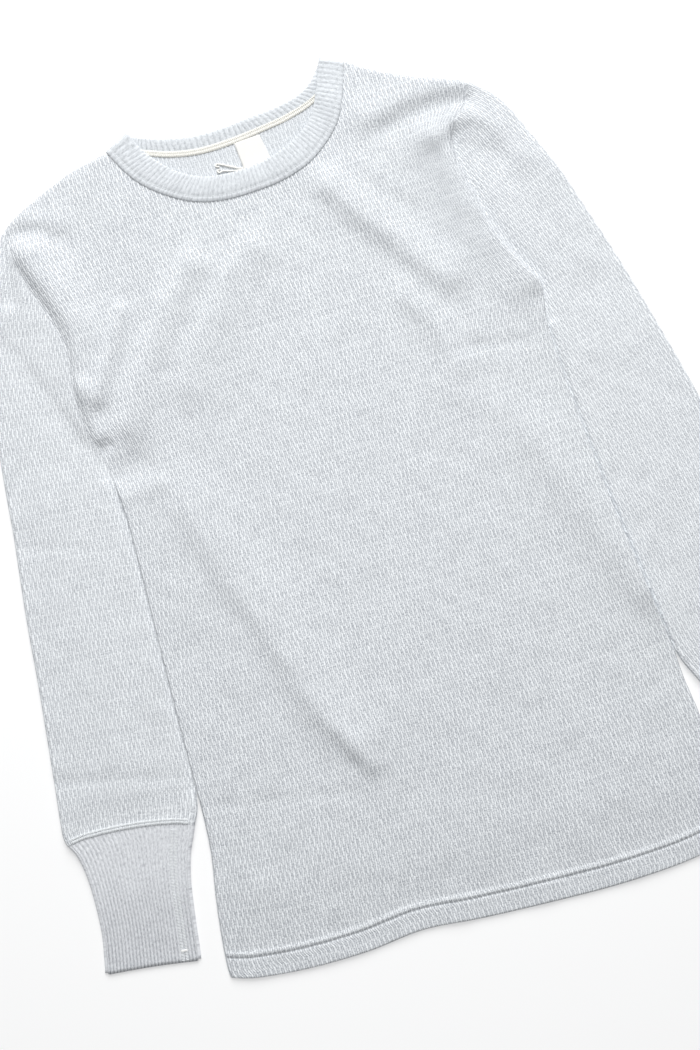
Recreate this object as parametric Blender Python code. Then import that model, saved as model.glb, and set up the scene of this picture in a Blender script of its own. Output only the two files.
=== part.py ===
"""Long-sleeved thermal top in tuck-rib knit, laid flat on a table with its front up.

Every piece that is cut and sewn is one closed solid: front, back, two sleeves, two cuffs, the neckband,
the tape over the back neck seam and the label. The table is z = 0, the neck points along +Y and the hem
along -Y, so the wearer's right sleeve lies on the -X side. All sizes are in millimetres.
"""
import bpy
import bmesh
import numpy as np

MM = 0.001

# ---------------------------------------------------------------------------- driving sizes
CLOTH = 1.8                 # thickness of the tuck-rib knit
RIB_CLOTH = 2.2             # thickness of the doubled rib of the neckband
RIB_RISE = 0.5              # height of one rib over the valleys beside it
GAP = 0.5                   # clearance along every seam
FLAT_TOP = 5.2              # top of the two layers where no fold lifts them
LOWEST_TOP = 2 * CLOTH + 0.5
EDGE_LOW = GAP              # how near the front's turned-over edge comes to the table
SIDE_ROLL = 2.8             # radius, seen from above, of the fold along a side
BACK_INSET = CLOTH + 1.8    # the back lies this far inside the front's turned-over edge
BACK_SHOULDER_INSET = 19.0  # and this far at the shoulders, under the neckband's ends
HEM_DEPTH = 17.0            # turned-up hem, edge to cover stitch
HEM_RISE = 0.9              # extra thickness of the turned-up hem
NECK_LAP = 5.0              # how far the front reaches under the neckband
FRONT_RIBS = 66
BACK_RIBS = 45
CUFF_RIBS = 28
CUFF_TOP = 4.8              # height of the flattened cuff
CUFF_CLOTH = 1.7
SEAM_BOW = 6.0              # on top, the cuff seam curves this far into the sleeve
SEAM_ARCH = (0, 0.62, 0.88, 1, 1, 0.88, 0.62, 0)
TAPE_CLOTH = 0.6
LABEL_CLOTH = 0.5

# The body's sides below the sleeves, from the hem corner up to where the sleeve leaves the body.
# Columns: left_x, left_y, right_x, right_y
SIDES = np.array((
    (-225, -333, 225, -360),
    (-225, -331, 225, -358),
    (-225, -317, 225, -343),
    (-224, -314, 225, -340),
    (-222, -292, 224, -308),
    (-217, -262, 223, -272),
    (-211, -232, 222, -241),
    (-208, -203, 220, -214)), float)

# The sleeves, from the shoulder tip down to the cuff seam. The inner edge is the armhole seam as far as
# the armpit, and after it the underarm fold, which lies against the body as far as row PART_ROW.
# Columns: inner_x, inner_y, outer_x, outer_y
SLEEVE_LEFT = np.array((
    (-222, 345, -226, 341.5), (-223, 322, -239, 319), (-220, 298, -252, 293), (-214, 275, -261, 266),
    (-207, 250, -268, 240), (-203, 226, -274, 214), (-205, 200, -279, 186), (-207, 172, -283, 160),
    (-205, 147, -286, 137), (-199, 128, -289, 112), (-196, 95, -292, 84), (-195, 60, -297, 48),
    (-197, 15, -303, 4), (-200, -40, -309, -50), (-203, -95, -316, -105), (-205.5, -150, -322, -150),
    (-206.5, -176, -325, -172), (-210, -191, -325.5, -180), (-216, -203, -324, -187)), float)
SLEEVE_RIGHT = np.array((
    (209, 350, 213, 347), (205, 332, 230, 331), (190, 317, 240, 314), (182, 298, 248, 293),
    (182, 270, 257, 268), (187, 238, 266, 242), (193, 212, 273, 214), (200, 190, 280, 186),
    (209, 170, 287, 157), (215, 151, 292, 133), (209, 115, 299, 98), (208, 63, 308, 50),
    (209, 15, 315, 8), (210, -40, 322, -42), (213, -95, 328, -90), (217, -150, 333, -138),
    (219.5, -187, 336, -170), (224, -204, 337, -186), (231, -221, 338, -199)), float)
ARMPIT_ROW = 9
PART_ROW = 16

# The neckband: its sewn edge and its free edge, from the left shoulder fold to the right one.
# Columns: sewn_x, sewn_y, free_x, free_y
BAND_FRONT = np.array((
    (-114.5, 382.5, -91.5, 393.5), (-110, 372, -85, 378), (-98, 351, -74, 362), (-79, 332.5, -59, 347),
    (-55, 317.5, -41, 337), (-28, 310.5, -21, 333), (0, 309.5, 1, 332.5), (28, 312, 22, 335.5),
    (52, 319, 42, 342), (72, 331.5, 58, 351), (89, 348, 70, 363), (101, 370, 79.5, 381),
    (111, 397, 90.5, 407)), float)
BAND_BACK = np.array((
    (-114.5, 382.5, -91.5, 393.5), (-84, 373, -80, 388.5), (-61, 364.5, -61, 381.5),
    (-35, 359.5, -35, 376.5), (-5, 359.5, -6, 376), (25, 362.5, 17, 378), (50, 366, 41, 379.5),
    (76, 374, 63, 384), (96, 387, 78, 393), (111, 397, 90.5, 407)), float)
SHOULDER_FOLD = 3.7         # from the fold's outline to the first row of each table

# The shoulder outline between the armhole and the neckband. Columns: x, y
SHOULDER_LEFT = np.array(((-222, 345), (-213, 351.5), (-199, 359), (-176, 369), (-150, 378.5), (-118.5, 385)))
SHOULDER_RIGHT = np.array(((115, 399.5), (126, 391.5), (141, 382), (166, 369), (190, 358.5), (209, 350)))
HEM = np.array(((-225, -333), (-203, -340), (-160, -346), (-110, -348), (-60, -345.5), (-10, -351.5),
                (50, -357), (110, -361), (165, -361), (205, -357.5), (225, -360)))

# The cuff in its own axes: down its length from the seam, and across it to both edges.
# Columns: down, inner, outer
CUFF = np.array((
    (0, -54, 54), (9, -51.5, 48), (24, -47, 43), (46, -43.5, 39.5), (75, -41, 37.7), (100, -39.8, 39.5),
    (111, -38.8, 41)), float)
CUFF_SLANT = 3.0            # the cuff's end is this much longer at its inner edge, shorter at its outer one

# Folds of the front and the sleeves. Each is a soft ridge (+) or trough (-) along a line.
# Columns: rise at the first point, rise at the last, half width, points (x, y) of the line
FOLDS = (
    (-0.8, -0.8, 22, ((-106, 372), (-80, 333), (-40, 312), (0, 307), (40, 313), (80, 338), (104, 378))),
    (4.6, 3.2, 12, ((-206, 332), (-192, 306), (-180, 262), (-181, 225), (-190, 190), (-198, 152))),
    (-2.2, -2.2, 7, ((-222, 305), (-214, 275), (-208, 252), (-204, 226), (-207, 190), (-205, 150))),
    (3.2, 1.4, 20, ((-240, 300), (-246, 255), (-246, 205), (-243, 150))),
    (4.8, 3.6, 11, ((200, 340), (180, 322), (168, 300), (168, 268), (175, 232), (184, 202), (203, 165))),
    (-2.0, -1.6, 9, ((202, 322), (192, 300), (191, 275), (197, 240), (206, 205))),
    (3.0, 1.2, 19, ((226, 322), (236, 284), (244, 230), (252, 175))),
    (3.0, 1.4, 14, ((54, 313), (90, 279), (122, 236), (134, 198))),
    (-2.2, -1.0, 10, ((40, 300), (70, 260), (97, 224), (112, 196), (104, 148), (116, 101))),
    (-1.6, -1.6, 13, ((140, 271), (166, 232), (174, 196), (176, 168))),
    (-2.4, -2.4, 8, ((112, 340), (138, 333), (162, 337), (190, 340))),
    (1.8, 1.8, 11, ((126, 314), (148, 312), (170, 322))),
    (-2.0, -1.6, 8, ((-212, 338), (-172, 328))),
    (1.4, 1.0, 13, ((-150, 262), (-166, 240), (-172, 200), (-180, 170))),
    (-1.6, -1.4, 13, ((-110, 240), (-138, 196), (-160, 166), (-174, 122))),
    (3.4, 2.2, 13, ((-122, 8), (-103, -54), (-84, -116), (-66, -168))),
    (-2.0, -1.8, 10, ((-142, 10), (-124, -48), (-108, -99), (-92, -148), (-76, -200))),
    (1.4, 1.0, 16, ((-60, -150), (-50, -190), (-46, -230))),
    (-1.3, -1.3, 12, ((164, -50), (186, -88), (200, -130), (202, -160))),
    (1.2, 1.0, 14, ((150, -80), (172, -120), (184, -165))),
    (0.9, 0.9, 120, ((10, 120), (5, -40), (0, -200))),
    (1.5, 1.2, 30, ((-244, 90), (-258, -30), (-266, -150))),
    (1.5, 1.2, 30, ((256, 90), (268, -30), (277, -160))))


# ---------------------------------------------------------------------------- curves and heights
def along(table, place):
    """A smooth curve through the table's rows, read at row numbers that may be fractions."""
    place = np.clip(np.asarray(place, float), 0, len(table) - 1)
    row = np.minimum(place.astype(int), len(table) - 2)
    part = (place - row)[..., None]
    before = table[np.maximum(row - 1, 0)]
    start, end = table[row], table[row + 1]
    after = table[np.minimum(row + 2, len(table) - 1)]
    slope_in, slope_out = (end - before) / 2, (after - start) / 2
    return (start * (1 + 2 * part) * (1 - part) ** 2 + slope_in * part * (1 - part) ** 2
            + end * part ** 2 * (3 - 2 * part) + slope_out * part ** 2 * (part - 1))


def along_length(table, fractions):
    """The same curve, read at fractions of the length of its first two columns."""
    fine = np.linspace(0, len(table) - 1, 16 * len(table))
    points = along(table, fine)
    steps = np.linalg.norm(np.diff(points[:, :2], axis=0), axis=1)
    length = np.concatenate(([0], np.cumsum(steps)))
    return along(table, np.interp(np.asarray(fractions) * length[-1], length, fine))


def unit(vectors):
    return vectors / np.maximum(np.linalg.norm(vectors, axis=-1, keepdims=True), 1e-9)


def top_height(x, y):
    """Height over the table of the cloth that faces up, folds included."""
    place = np.stack((x, y), axis=-1)
    height = np.full(place.shape[:-1], FLAT_TOP)
    for rise_start, rise_end, half_width, line in FOLDS:
        line = np.array(line, float)
        nearest = np.full(height.shape, np.inf)
        share = np.zeros(height.shape)
        for piece, (start, end) in enumerate(zip(line[:-1], line[1:])):
            part = np.clip(((place - start) @ (end - start)) / ((end - start) @ (end - start)), 0, 1)
            distance = np.linalg.norm(place - start - part[..., None] * (end - start), axis=-1)
            share = np.where(distance < nearest, (piece + part) / (len(line) - 1), share)
            nearest = np.minimum(nearest, distance)
        rise = rise_start + (rise_end - rise_start) * share
        height = height + rise * np.exp(-(nearest / half_width) ** 2)
    spare = height - LOWEST_TOP
    return LOWEST_TOP + np.where(spare > 0.5, spare, 0.5 * np.exp(np.minimum(spare, 0.5) / 0.5 - 1))


def with_margins(plan, offsets, axis, at_end):
    """Adds lines of points inside one edge of a plan grid, at the given distances from that edge."""
    plan = np.moveaxis(plan, axis, 0)
    if at_end:
        plan = plan[::-1]
    inward = unit(plan[1] - plan[0])
    lines = [plan[0] + inward * offset for offset in offsets]
    plan = np.concatenate((plan[:1], lines, plan[1:]))
    if at_end:
        plan = plan[::-1]
    return np.moveaxis(plan, 0, axis)


# ---------------------------------------------------------------------------- mesh building
def material(name, colour, roughness):
    made = bpy.data.materials.new(name)
    made.use_nodes = True
    shader = made.node_tree.nodes["Principled BSDF"]
    shader.inputs["Base Color"].default_value = (*colour, 1)
    shader.inputs["Roughness"].default_value = roughness
    shader.inputs["Metallic"].default_value = 0
    return made


def add_object(name, points, faces, finish, collection):
    """One closed solid from points in millimetres, with its faces turned outwards."""
    shape = bmesh.new()
    corners = [shape.verts.new(point) for point in np.asarray(points) * MM]
    for face in faces:
        shape.faces.new([corners[index] for index in face])
    bmesh.ops.recalc_face_normals(shape, faces=shape.faces)
    mesh = bpy.data.meshes.new(name)
    shape.to_mesh(mesh)
    shape.free()
    mesh.shade_smooth()
    mesh.set_sharp_from_angle(angle=np.radians(50))
    mesh.materials.append(finish)
    piece = bpy.data.objects.new(name, mesh)
    collection.objects.link(piece)
    return piece


def add_wall(name, outside, inside, finish, collection, closed_rows=()):
    """A wall of cloth from a grid of outside points and the inside point behind each of them.

    In closed_rows the last column is the first one again, so the wall is a tube there.
    """
    rows, columns = outside.shape[:2]
    index = np.arange(rows * columns).reshape(rows, columns)
    for row in closed_rows:
        index[row, -1] = index[row, 0]
    used, index = np.unique(index, return_inverse=True)
    index = index.reshape(rows, columns)
    skin = [(index[r, c], index[r, c + 1], index[r + 1, c + 1], index[r + 1, c])
            for r in range(rows - 1) for c in range(columns - 1)]
    sides = {(face[k], face[(k + 1) % 4]) for face in skin for k in range(4)}
    shift = len(used)
    faces = list(skin)
    faces += [tuple(corner + shift for corner in reversed(face)) for face in skin]
    faces += [(b, a, a + shift, b + shift) for a, b in sides if (b, a) not in sides]
    points = np.concatenate((outside.reshape(-1, 3)[used], inside.reshape(-1, 3)[used]))
    return add_object(name, points, faces, finish, collection)


def add_sweep(name, sections, finish, collection):
    """A closed ring swept through sections that all have the same number of points."""
    count, size = sections.shape[:2]
    faces = [(s * size + p, s * size + (p + 1) % size,
              (s + 1) % count * size + (p + 1) % size, (s + 1) % count * size + p)
             for s in range(count) for p in range(size)]
    return add_object(name, sections.reshape(-1, 3), faces, finish, collection)


# ---------------------------------------------------------------------------- front and back
ROLL_ANGLES = np.radians((0, 32, 62, 90))
ROLL_OFFSETS = SIDE_ROLL * (1 - np.cos(ROLL_ANGLES[1:]))
FRONT_NECK_COLUMNS = 14
BACK_NECK_COLUMNS = 11


def side_places():
    """Row numbers of the side curves where the body has a row of points."""
    lower = list(range(len(SIDES)))
    upper = [len(SIDES) + step for step in (0, 1, 1.5, 2, 2.5, 3, 3.5, 4, 5, 6, 7, 8, 9, 10, 11, 12, 13,
                                            13.5, 14, 14.5, 15, 15.5, 16)]
    return np.array(lower + upper)


def body_side(sleeve, columns):
    """Points of one side of the body from the hem up to the shoulder tip."""
    shared = sleeve[PART_ROW::-1, :2]
    return along(np.concatenate((SIDES[:, columns], shared)), side_places())


def body_plan(neck_line):
    """Plan grid of a body panel, hem to shoulder by left side to right side."""
    left = body_side(SLEEVE_LEFT, slice(0, 2)) + (GAP / 2, 0)
    right = body_side(SLEEVE_RIGHT, slice(2, 4)) - (GAP / 2, 0)
    top = np.concatenate((SHOULDER_LEFT + (0.0, 0.0), neck_line, SHOULDER_RIGHT + (0.0, 0.0)))
    top[0], top[-1] = left[-1], right[-1]
    across = ((top[:, 0] - top[0, 0]) / (top[-1, 0] - top[0, 0]))[None, :, None]
    hem = along_length(HEM, across[0, :, 0])
    hem[0], hem[-1] = left[0], right[0]
    rise = np.zeros(len(left))
    for side in (left, right):
        steps = np.linalg.norm(np.diff(side, axis=0), axis=1)
        rise += np.concatenate(([0], np.cumsum(steps))) / steps.sum() / 2
    up = rise[:, None, None]
    corners = ((1 - across) * ((1 - up) * hem[0] + up * top[0])
               + across * ((1 - up) * hem[-1] + up * top[-1]))
    return (1 - up) * hem + up * top + (1 - across) * left[:, None] + across * right[:, None] - corners


def side_is_fold(rows):
    """1 where the body's side is a fold, 0 where it is the armhole seam."""
    armpit = len(SIDES) + PART_ROW - ARMPIT_ROW
    return np.clip(1 - (rows - armpit) * 0.6, 0, 1)


def neck_edge(band, lap, columns):
    """The panel's neck edge under the band, from the left shoulder to the right one."""
    share = np.linspace(0, 1, columns + 2)[1:-1]
    edge = along_length(band, share)
    inward = unit(edge[:, 2:] - edge[:, :2])
    reach = lap * np.minimum(1, np.sin(np.pi * share) * 1.6) - 0.8 * (1 - np.sin(np.pi * share))
    return edge[:, :2] + inward * reach[:, None]


def roll_share(fold):
    """Sine and cosine of the turned-over edge for each margin line, flat where fold is 0."""
    sine = 1 - fold[:, None] * (1 - np.sin(ROLL_ANGLES))
    cosine = fold[:, None] * np.cos(ROLL_ANGLES)
    return sine, cosine


def make_front(finish, collection):
    plan = body_plan(neck_edge(BAND_FRONT, NECK_LAP, FRONT_NECK_COLUMNS))
    rows = side_places()
    is_shoulder = np.ones(plan.shape[1])
    is_shoulder[len(SHOULDER_LEFT):-len(SHOULDER_RIGHT)] = 0
    for at_end in (False, True):
        plan = with_margins(plan, ROLL_OFFSETS, 1, at_end)
    is_shoulder = np.concatenate(([1] * 3, is_shoulder, [1] * 3))
    plan = with_margins(plan, ROLL_OFFSETS, 0, True)
    rows = np.concatenate((rows[:-1], np.full(3, rows[-1]), rows[-1:]))

    lift = np.ones(plan.shape[:2])
    inward = np.zeros(plan.shape)
    side_sine, side_cosine = roll_share(side_is_fold(rows))
    across = unit(plan[:, 4] - plan[:, 0])
    for line in range(4):
        for column, direction in ((line, 1), (plan.shape[1] - 1 - line, -1)):
            lift[:, column] *= side_sine[:, line]
            inward[:, column] += direction * across * side_cosine[:, line:line + 1]
    top_sine, top_cosine = roll_share(is_shoulder)
    down = unit(plan[-5] - plan[-1])
    for line in range(4):
        lift[-1 - line] *= top_sine[:, line]
        inward[-1 - line] += down * top_cosine[:, line:line + 1]

    height = top_height(plan[..., 0], plan[..., 1])
    hem_rise = np.where(rows <= 2, HEM_RISE, 0)[:, None] * np.where(rows == 0, 0.3, 1)[:, None]
    outside = np.dstack((plan, EDGE_LOW + (height + hem_rise - EDGE_LOW) * lift))
    inside = np.dstack((plan + inward * CLOTH, EDGE_LOW + (height - CLOTH - EDGE_LOW) * lift))
    return add_wall("front", outside, inside, finish, collection)


def make_back(finish, collection):
    """The back lies flat on the table inside the front's turned-over edge."""
    plan = body_plan(neck_edge(BAND_BACK, -2 * GAP, BACK_NECK_COLUMNS))
    rows = side_places()
    near_shoulder = rows > rows[-1] - 3
    fold = np.where(near_shoulder, 1, np.sqrt(side_is_fold(rows)))[:, None]
    across = unit(plan[:, -1] - plan[:, 0])
    plan[:, 0] += across * fold * BACK_INSET
    plan[:, -1] -= across * fold * BACK_INSET
    shoulder = np.ones((plan.shape[1], 1))
    shoulder[len(SHOULDER_LEFT):-len(SHOULDER_RIGHT)] = 0
    plan[-1] += unit(plan[-2] - plan[-1]) * shoulder * BACK_SHOULDER_INSET
    plan = plan[~np.isin(rows, (1, 2, 9, 9.5, 10.5, 11, 11.5, 22.5, 23, 23.5))]
    flat = np.zeros(plan.shape[:2])
    return add_wall("back", np.dstack((plan, flat + CLOTH)), np.dstack((plan, flat)), finish, collection)


# ---------------------------------------------------------------------------- sleeves and cuffs
def tube_columns(top, bottom):
    """Places round a flattened tube, as (share of the width, angle of the edge's roll)."""
    edge = list(np.degrees(ROLL_ANGLES))
    columns = [(0, angle) for angle in edge]
    columns += [(share, 90) for share in np.linspace(0, 1, top + 2)[1:-1]]
    columns += [(1, angle) for angle in reversed(edge)]
    columns += [(1, -angle) for angle in edge[1:]]
    columns += [(share, -90) for share in np.linspace(1, 0, bottom + 2)[1:-1]]
    columns += [(0, -angle) for angle in reversed(edge)]
    return np.array(columns)


def tube_points(inner_edge, outer_edge, columns, thickness, top_of, opened, bow):
    """Outside and inside points of a flattened tube between two edge lines.

    opened is 1 for the rows where the tube is cut open along its inner edge, and top_of gives the height
    of the upper layer. bow moves the middle of each row of the upper layer along the tube.
    """
    share, angle = columns[:, 0], np.radians(columns[:, 1])
    last = len(columns) - 1
    layer = np.where(columns[:, 1] > 0, 1, -1)
    layer[0], layer[last] = 1, -1
    spread = outer_edge - inner_edge
    width = np.linalg.norm(spread, axis=1, keepdims=True)
    radius = np.minimum(SIDE_ROLL, 0.42 * width)
    wall = np.minimum(thickness, 0.75 * radius)
    at_inner = (share == 0) * 1.0
    closed = 1 - np.asarray(opened, float)[:, None] * at_inner
    sine = layer + closed * (np.sin(angle) - layer)
    turn = np.cos(angle) * (1 - 2 * share)
    places = radius + (width - 2 * radius) * share
    arch = np.interp(share, np.linspace(0, 1, len(SEAM_ARCH)), SEAM_ARCH) * (layer > 0)

    def plan_at(distance):
        plan = inner_edge[:, None] + unit(spread)[:, None] * distance[..., None]
        return plan + bow[:, None] * arch[None, :, None]

    def heights(plan, wall_now):
        top = top_of(plan[..., 0], plan[..., 1])
        middle = top / 2
        upper = middle + (top - wall_now - middle) * sine
        lower = middle + (middle - wall_now) * sine
        return np.where(layer > 0, upper, lower)

    outside_plan = plan_at(places - radius * turn)
    inside_plan = plan_at(places - (radius - wall * closed) * turn)
    outside = np.dstack((outside_plan, heights(outside_plan, 0)))
    inside = np.dstack((inside_plan, heights(outside_plan, wall)))
    return outside, inside


def make_sleeve(name, table, outward, finish, collection):
    places = np.array([0, 0.5, 1, 1.5, 2, 2.5, 3, 4, 5, 6, 7, 8, 9, 10, 11, 12, 13, 14, 15, 16, 17, 18])
    curve = along(table, places)
    inner_edge = curve[:, :2] + (outward * GAP / 2, 0)
    outer_edge = curve[:, 2:]
    opened = np.clip((ARMPIT_ROW - places) * 0.6, 0, 1)
    end_axis = cuff_axes(table)[1]
    bow = -end_axis * SEAM_BOW * np.clip(places - 16.6, 0, 1.4)[:, None] / 1.4
    outside, inside = tube_points(inner_edge, outer_edge, tube_columns(6, 1), CLOTH, top_height, opened, bow)
    closed_rows = [row for row, place in enumerate(places) if place >= ARMPIT_ROW]
    return add_wall(name, outside, inside, finish, collection, closed_rows)


def cuff_axes(table):
    """Middle of the sleeve's end, and the cuff's directions down its length and across to its outer edge."""
    inner, outer = table[-1, :2], table[-1, 2:]
    across = unit(outer - inner)
    down = np.array((across[1], -across[0]))
    down = down if down[1] < 0 else -down
    return (inner + outer) / 2, down, across


def make_cuff(name, table, finish, collection):
    middle, down, across = cuff_axes(table)
    half_seam = np.linalg.norm(table[-1, 2:] - table[-1, :2]) / 2
    stations = along(CUFF, np.array((0, 1, 2, 3, 4, 6)))
    fit = 1 + (half_seam / CUFF[0, 2] - 1) * np.clip(1 - stations[:, 0] / 40, 0, 1)
    drop = stations[:, 0] + GAP
    slant = CUFF_SLANT * (stations[:, 0] / CUFF[-1, 0]) ** 4
    inner_edge = middle + down * (drop + slant)[:, None] + across * (stations[:, 1] * fit)[:, None]
    outer_edge = middle + down * (drop - slant)[:, None] + across * (stations[:, 2] * fit)[:, None]
    bow = -down * SEAM_BOW * np.clip(1 - stations[:, 0] / 30, 0, 1)[:, None]
    columns = tube_columns(2 * CUFF_RIBS - 1, 4)
    flat = lambda x, y: np.full(x.shape, CUFF_TOP)
    opened = np.zeros(len(stations))
    outside, inside = tube_points(inner_edge, outer_edge, columns, CUFF_CLOTH, flat, opened, bow)
    on_top = np.flatnonzero((columns[:, 1] == 90) & (columns[:, 0] > 0) & (columns[:, 0] < 1))
    outside[:, on_top[::2], 2] += RIB_RISE
    return add_wall(name, outside, inside, finish, collection, range(len(stations)))


# ---------------------------------------------------------------------------- neckband, tape and label
BAND_FRONT_SHARES = np.array((0, 0.1, 0.9, 1))
BAND_BACK_SHARES = np.array((0, 0.38, 0.9, 1))
BAND_FREE_BOTTOM = 3.9      # underside of the front band's free edge, over the label
BAND_BEND = 0.35            # share of the band's width that lies on the front before it comes down


def band_arc(table, ribs):
    """Sewn edge, free edge and rib rise of one half of the band, at each valley and each crest."""
    count = 2 * ribs + 1
    edges = along_length(table, np.linspace(0, 1, count))
    crest = np.arange(count) % 2
    return edges[:, :2], edges[:, 2:], crest * RIB_RISE


def band_front_bottom(sewn, share):
    """Height of the front band's underside: on the front at its sewn edge, lower at its free edge."""
    on_panel = top_height(sewn[:, 0], sewn[:, 1]) + 2 * GAP
    arch = np.sin(np.pi * np.linspace(0, 1, len(sewn)))
    return on_panel + (BAND_FREE_BOTTOM - on_panel) * arch * max(0, (share - BAND_BEND) / (1 - BAND_BEND))


def lie(edge, free, share, height):
    plan = edge + (free - edge) * share
    return np.column_stack((plan, np.broadcast_to(height, len(plan))))


def make_neckband(finish, collection):
    sewn, free, rise = band_arc(BAND_FRONT, FRONT_RIBS)
    front = [lie(sewn, free, 0, band_front_bottom(sewn, 0) + RIB_CLOTH * 0.6 + rise * 0.6)]
    front += [lie(sewn, free, share, band_front_bottom(sewn, share) + RIB_CLOTH + rise)
              for share in BAND_FRONT_SHARES[1:3]]
    front += [lie(sewn, free, 1, band_front_bottom(sewn, 1) + RIB_CLOTH * 0.6 + rise * 0.6)]
    front += [lie(sewn, free, share, band_front_bottom(sewn, share)) for share in (1, 0.9, BAND_BEND, 0)]

    sewn, free, rise = (part[::-1] for part in band_arc(BAND_BACK, BACK_RIBS))
    back = [lie(sewn, free, 0, 0), lie(sewn, free, BAND_BACK_SHARES[1], 0),
            lie(sewn, free, BAND_BACK_SHARES[2], 0), lie(sewn, free, 1, 0)]
    back += [lie(sewn, free, 1, RIB_CLOTH * 0.7 + rise * 0.6)]
    back += [lie(sewn, free, BAND_BACK_SHARES[2], RIB_CLOTH + rise)]
    back += [lie(sewn, free, BAND_BACK_SHARES[1], CLOTH), lie(sewn, free, 0, CLOTH)]
    front, back = np.stack(front, axis=1), np.stack(back, axis=1)

    def shoulder(start, end, outline_side):
        """The band folds over at the shoulder: sections turn from the upper half to the lower one."""
        outward = unit(np.array(outline_side, float))
        turned = []
        for angle in np.radians((30, 65, 90, 115, 150)):
            blend = (1 - np.cos(angle)) / 2
            section = start + (end - start) * blend
            reach = np.where(start[:, 2] >= np.median(start[:, 2]), SHOULDER_FOLD, SHOULDER_FOLD - RIB_CLOTH)
            section[:, :2] += outward * (reach * np.sin(angle))[:, None]
            turned.append(section)
        return np.stack(turned)

    right = shoulder(front[-1], back[0], (10, 21))
    left = shoulder(front[0], back[-1], (-11, 23))[::-1]
    return add_sweep("neckband", np.concatenate((front, right, back, left)), finish, collection)


def make_tape(finish, collection):
    """The tape lies over the seam of band and back, and ends under the front band."""
    edges = along_length(BAND_BACK, np.linspace(0.09, 0.9, 25))
    sewn, free = edges[:, :2], edges[:, 2:]
    inward = unit(free - sewn)
    rows = np.stack((sewn - inward * 1.2, sewn + inward * 4.6), axis=1)
    bottom = np.full(rows.shape[:2], CLOTH + GAP)
    return add_wall("neck_tape", np.dstack((rows, bottom + TAPE_CLOTH)), np.dstack((rows, bottom)),
                    finish, collection)


def make_label(finish, collection):
    corner = np.array(((-4.5, 356.5), (19.5, 357.5), (22.5, 333), (-3.0, 331.5)))
    down = np.linspace(0, 1, 4)[:, None, None]
    across = np.linspace(0, 1, 3)[None, :, None]
    rows = ((1 - down) * ((1 - across) * corner[0] + across * corner[1])
            + down * ((1 - across) * corner[3] + across * corner[2]))
    bottom = np.full(rows.shape[:2], CLOTH + GAP)
    return add_wall("label", np.dstack((rows, bottom + LABEL_CLOTH)), np.dstack((rows, bottom)),
                    finish, collection)


# ---------------------------------------------------------------------------- assembly
def centre_on_table(pieces):
    """Moves every piece so that the middle of the whole top's box is over the origin."""
    points = np.array([vertex.co for piece in pieces for vertex in piece.data.vertices])
    middle = (points.min(axis=0) + points.max(axis=0)) / 2
    for piece in pieces:
        for vertex in piece.data.vertices:
            vertex.co.x -= middle[0]
            vertex.co.y -= middle[1]
    print("middle of the top in garment millimetres:", middle[:2] / MM, "lowest", points[:, 2].min() / MM)


def main():
    for leftover in list(bpy.data.objects):
        bpy.data.objects.remove(leftover)
    collection = bpy.data.collections.new("thermal_top")
    bpy.context.scene.collection.children.link(collection)
    knit = material("heather knit", (0.70, 0.73, 0.76), 0.9)
    rib = material("heather rib", (0.62, 0.65, 0.69), 0.9)
    tape = material("cotton tape", (0.86, 0.85, 0.81), 0.85)
    woven = material("woven label", (0.92, 0.91, 0.88), 0.7)
    centre_on_table([
        make_front(knit, collection),
        make_back(knit, collection),
        make_sleeve("sleeve_left", SLEEVE_LEFT, -1, knit, collection),
        make_sleeve("sleeve_right", SLEEVE_RIGHT, 1, knit, collection),
        make_cuff("cuff_left", SLEEVE_LEFT, rib, collection),
        make_cuff("cuff_right", SLEEVE_RIGHT, rib, collection),
        make_neckband(rib, collection),
        make_tape(tape, collection),
        make_label(woven, collection)])


main()
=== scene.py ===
# Long-sleeved thermal top in heather-grey tuck-rib knit, laid flat on a pale table with its front up.
# Lengths are in millimetres in the top's own frame, with the neck towards +Y, until MM and MIDDLE turn
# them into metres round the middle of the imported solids.
import math

import bmesh
import bpy
import numpy as np
from mathutils import Matrix, Vector
from mathutils.bvhtree import BVHTree


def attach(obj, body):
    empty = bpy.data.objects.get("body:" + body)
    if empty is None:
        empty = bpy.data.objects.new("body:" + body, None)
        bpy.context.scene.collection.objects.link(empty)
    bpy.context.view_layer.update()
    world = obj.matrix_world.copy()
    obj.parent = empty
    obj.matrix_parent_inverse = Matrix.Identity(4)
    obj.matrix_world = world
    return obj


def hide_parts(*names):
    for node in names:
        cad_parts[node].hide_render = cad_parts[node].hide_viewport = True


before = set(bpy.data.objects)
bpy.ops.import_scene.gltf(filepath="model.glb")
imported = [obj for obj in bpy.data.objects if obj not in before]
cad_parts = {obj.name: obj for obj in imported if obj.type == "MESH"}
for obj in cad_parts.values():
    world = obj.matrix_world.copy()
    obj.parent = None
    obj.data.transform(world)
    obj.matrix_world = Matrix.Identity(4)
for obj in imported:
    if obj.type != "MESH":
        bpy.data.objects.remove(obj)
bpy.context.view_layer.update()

# ---------------------------------------------------------------------------- camera, table and light
# The camera stands almost straight above the top, 1.27 m up, turned so that the top lies 18 degrees over
# and its lower right corner and one cuff are past the edge of the frame.
MM = 0.001
MIDDLE = np.array((10.02669, 24.43574, 0.0))
LENS_MM = 50
SENSOR_MM = 36
NEAREST_SEEN = 0.01         # metres
CAMERA_PLACE = (-56.4, -136.5, 1259.8)
CAMERA_AIM = (-12.0, 0.0, 0.0)
TURN = math.radians(18)


def in_metres(points):
    """Points of the top's own frame, in millimetres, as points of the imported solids' frame in metres."""
    return (np.asarray(points, float) - MIDDLE) * MM


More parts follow.
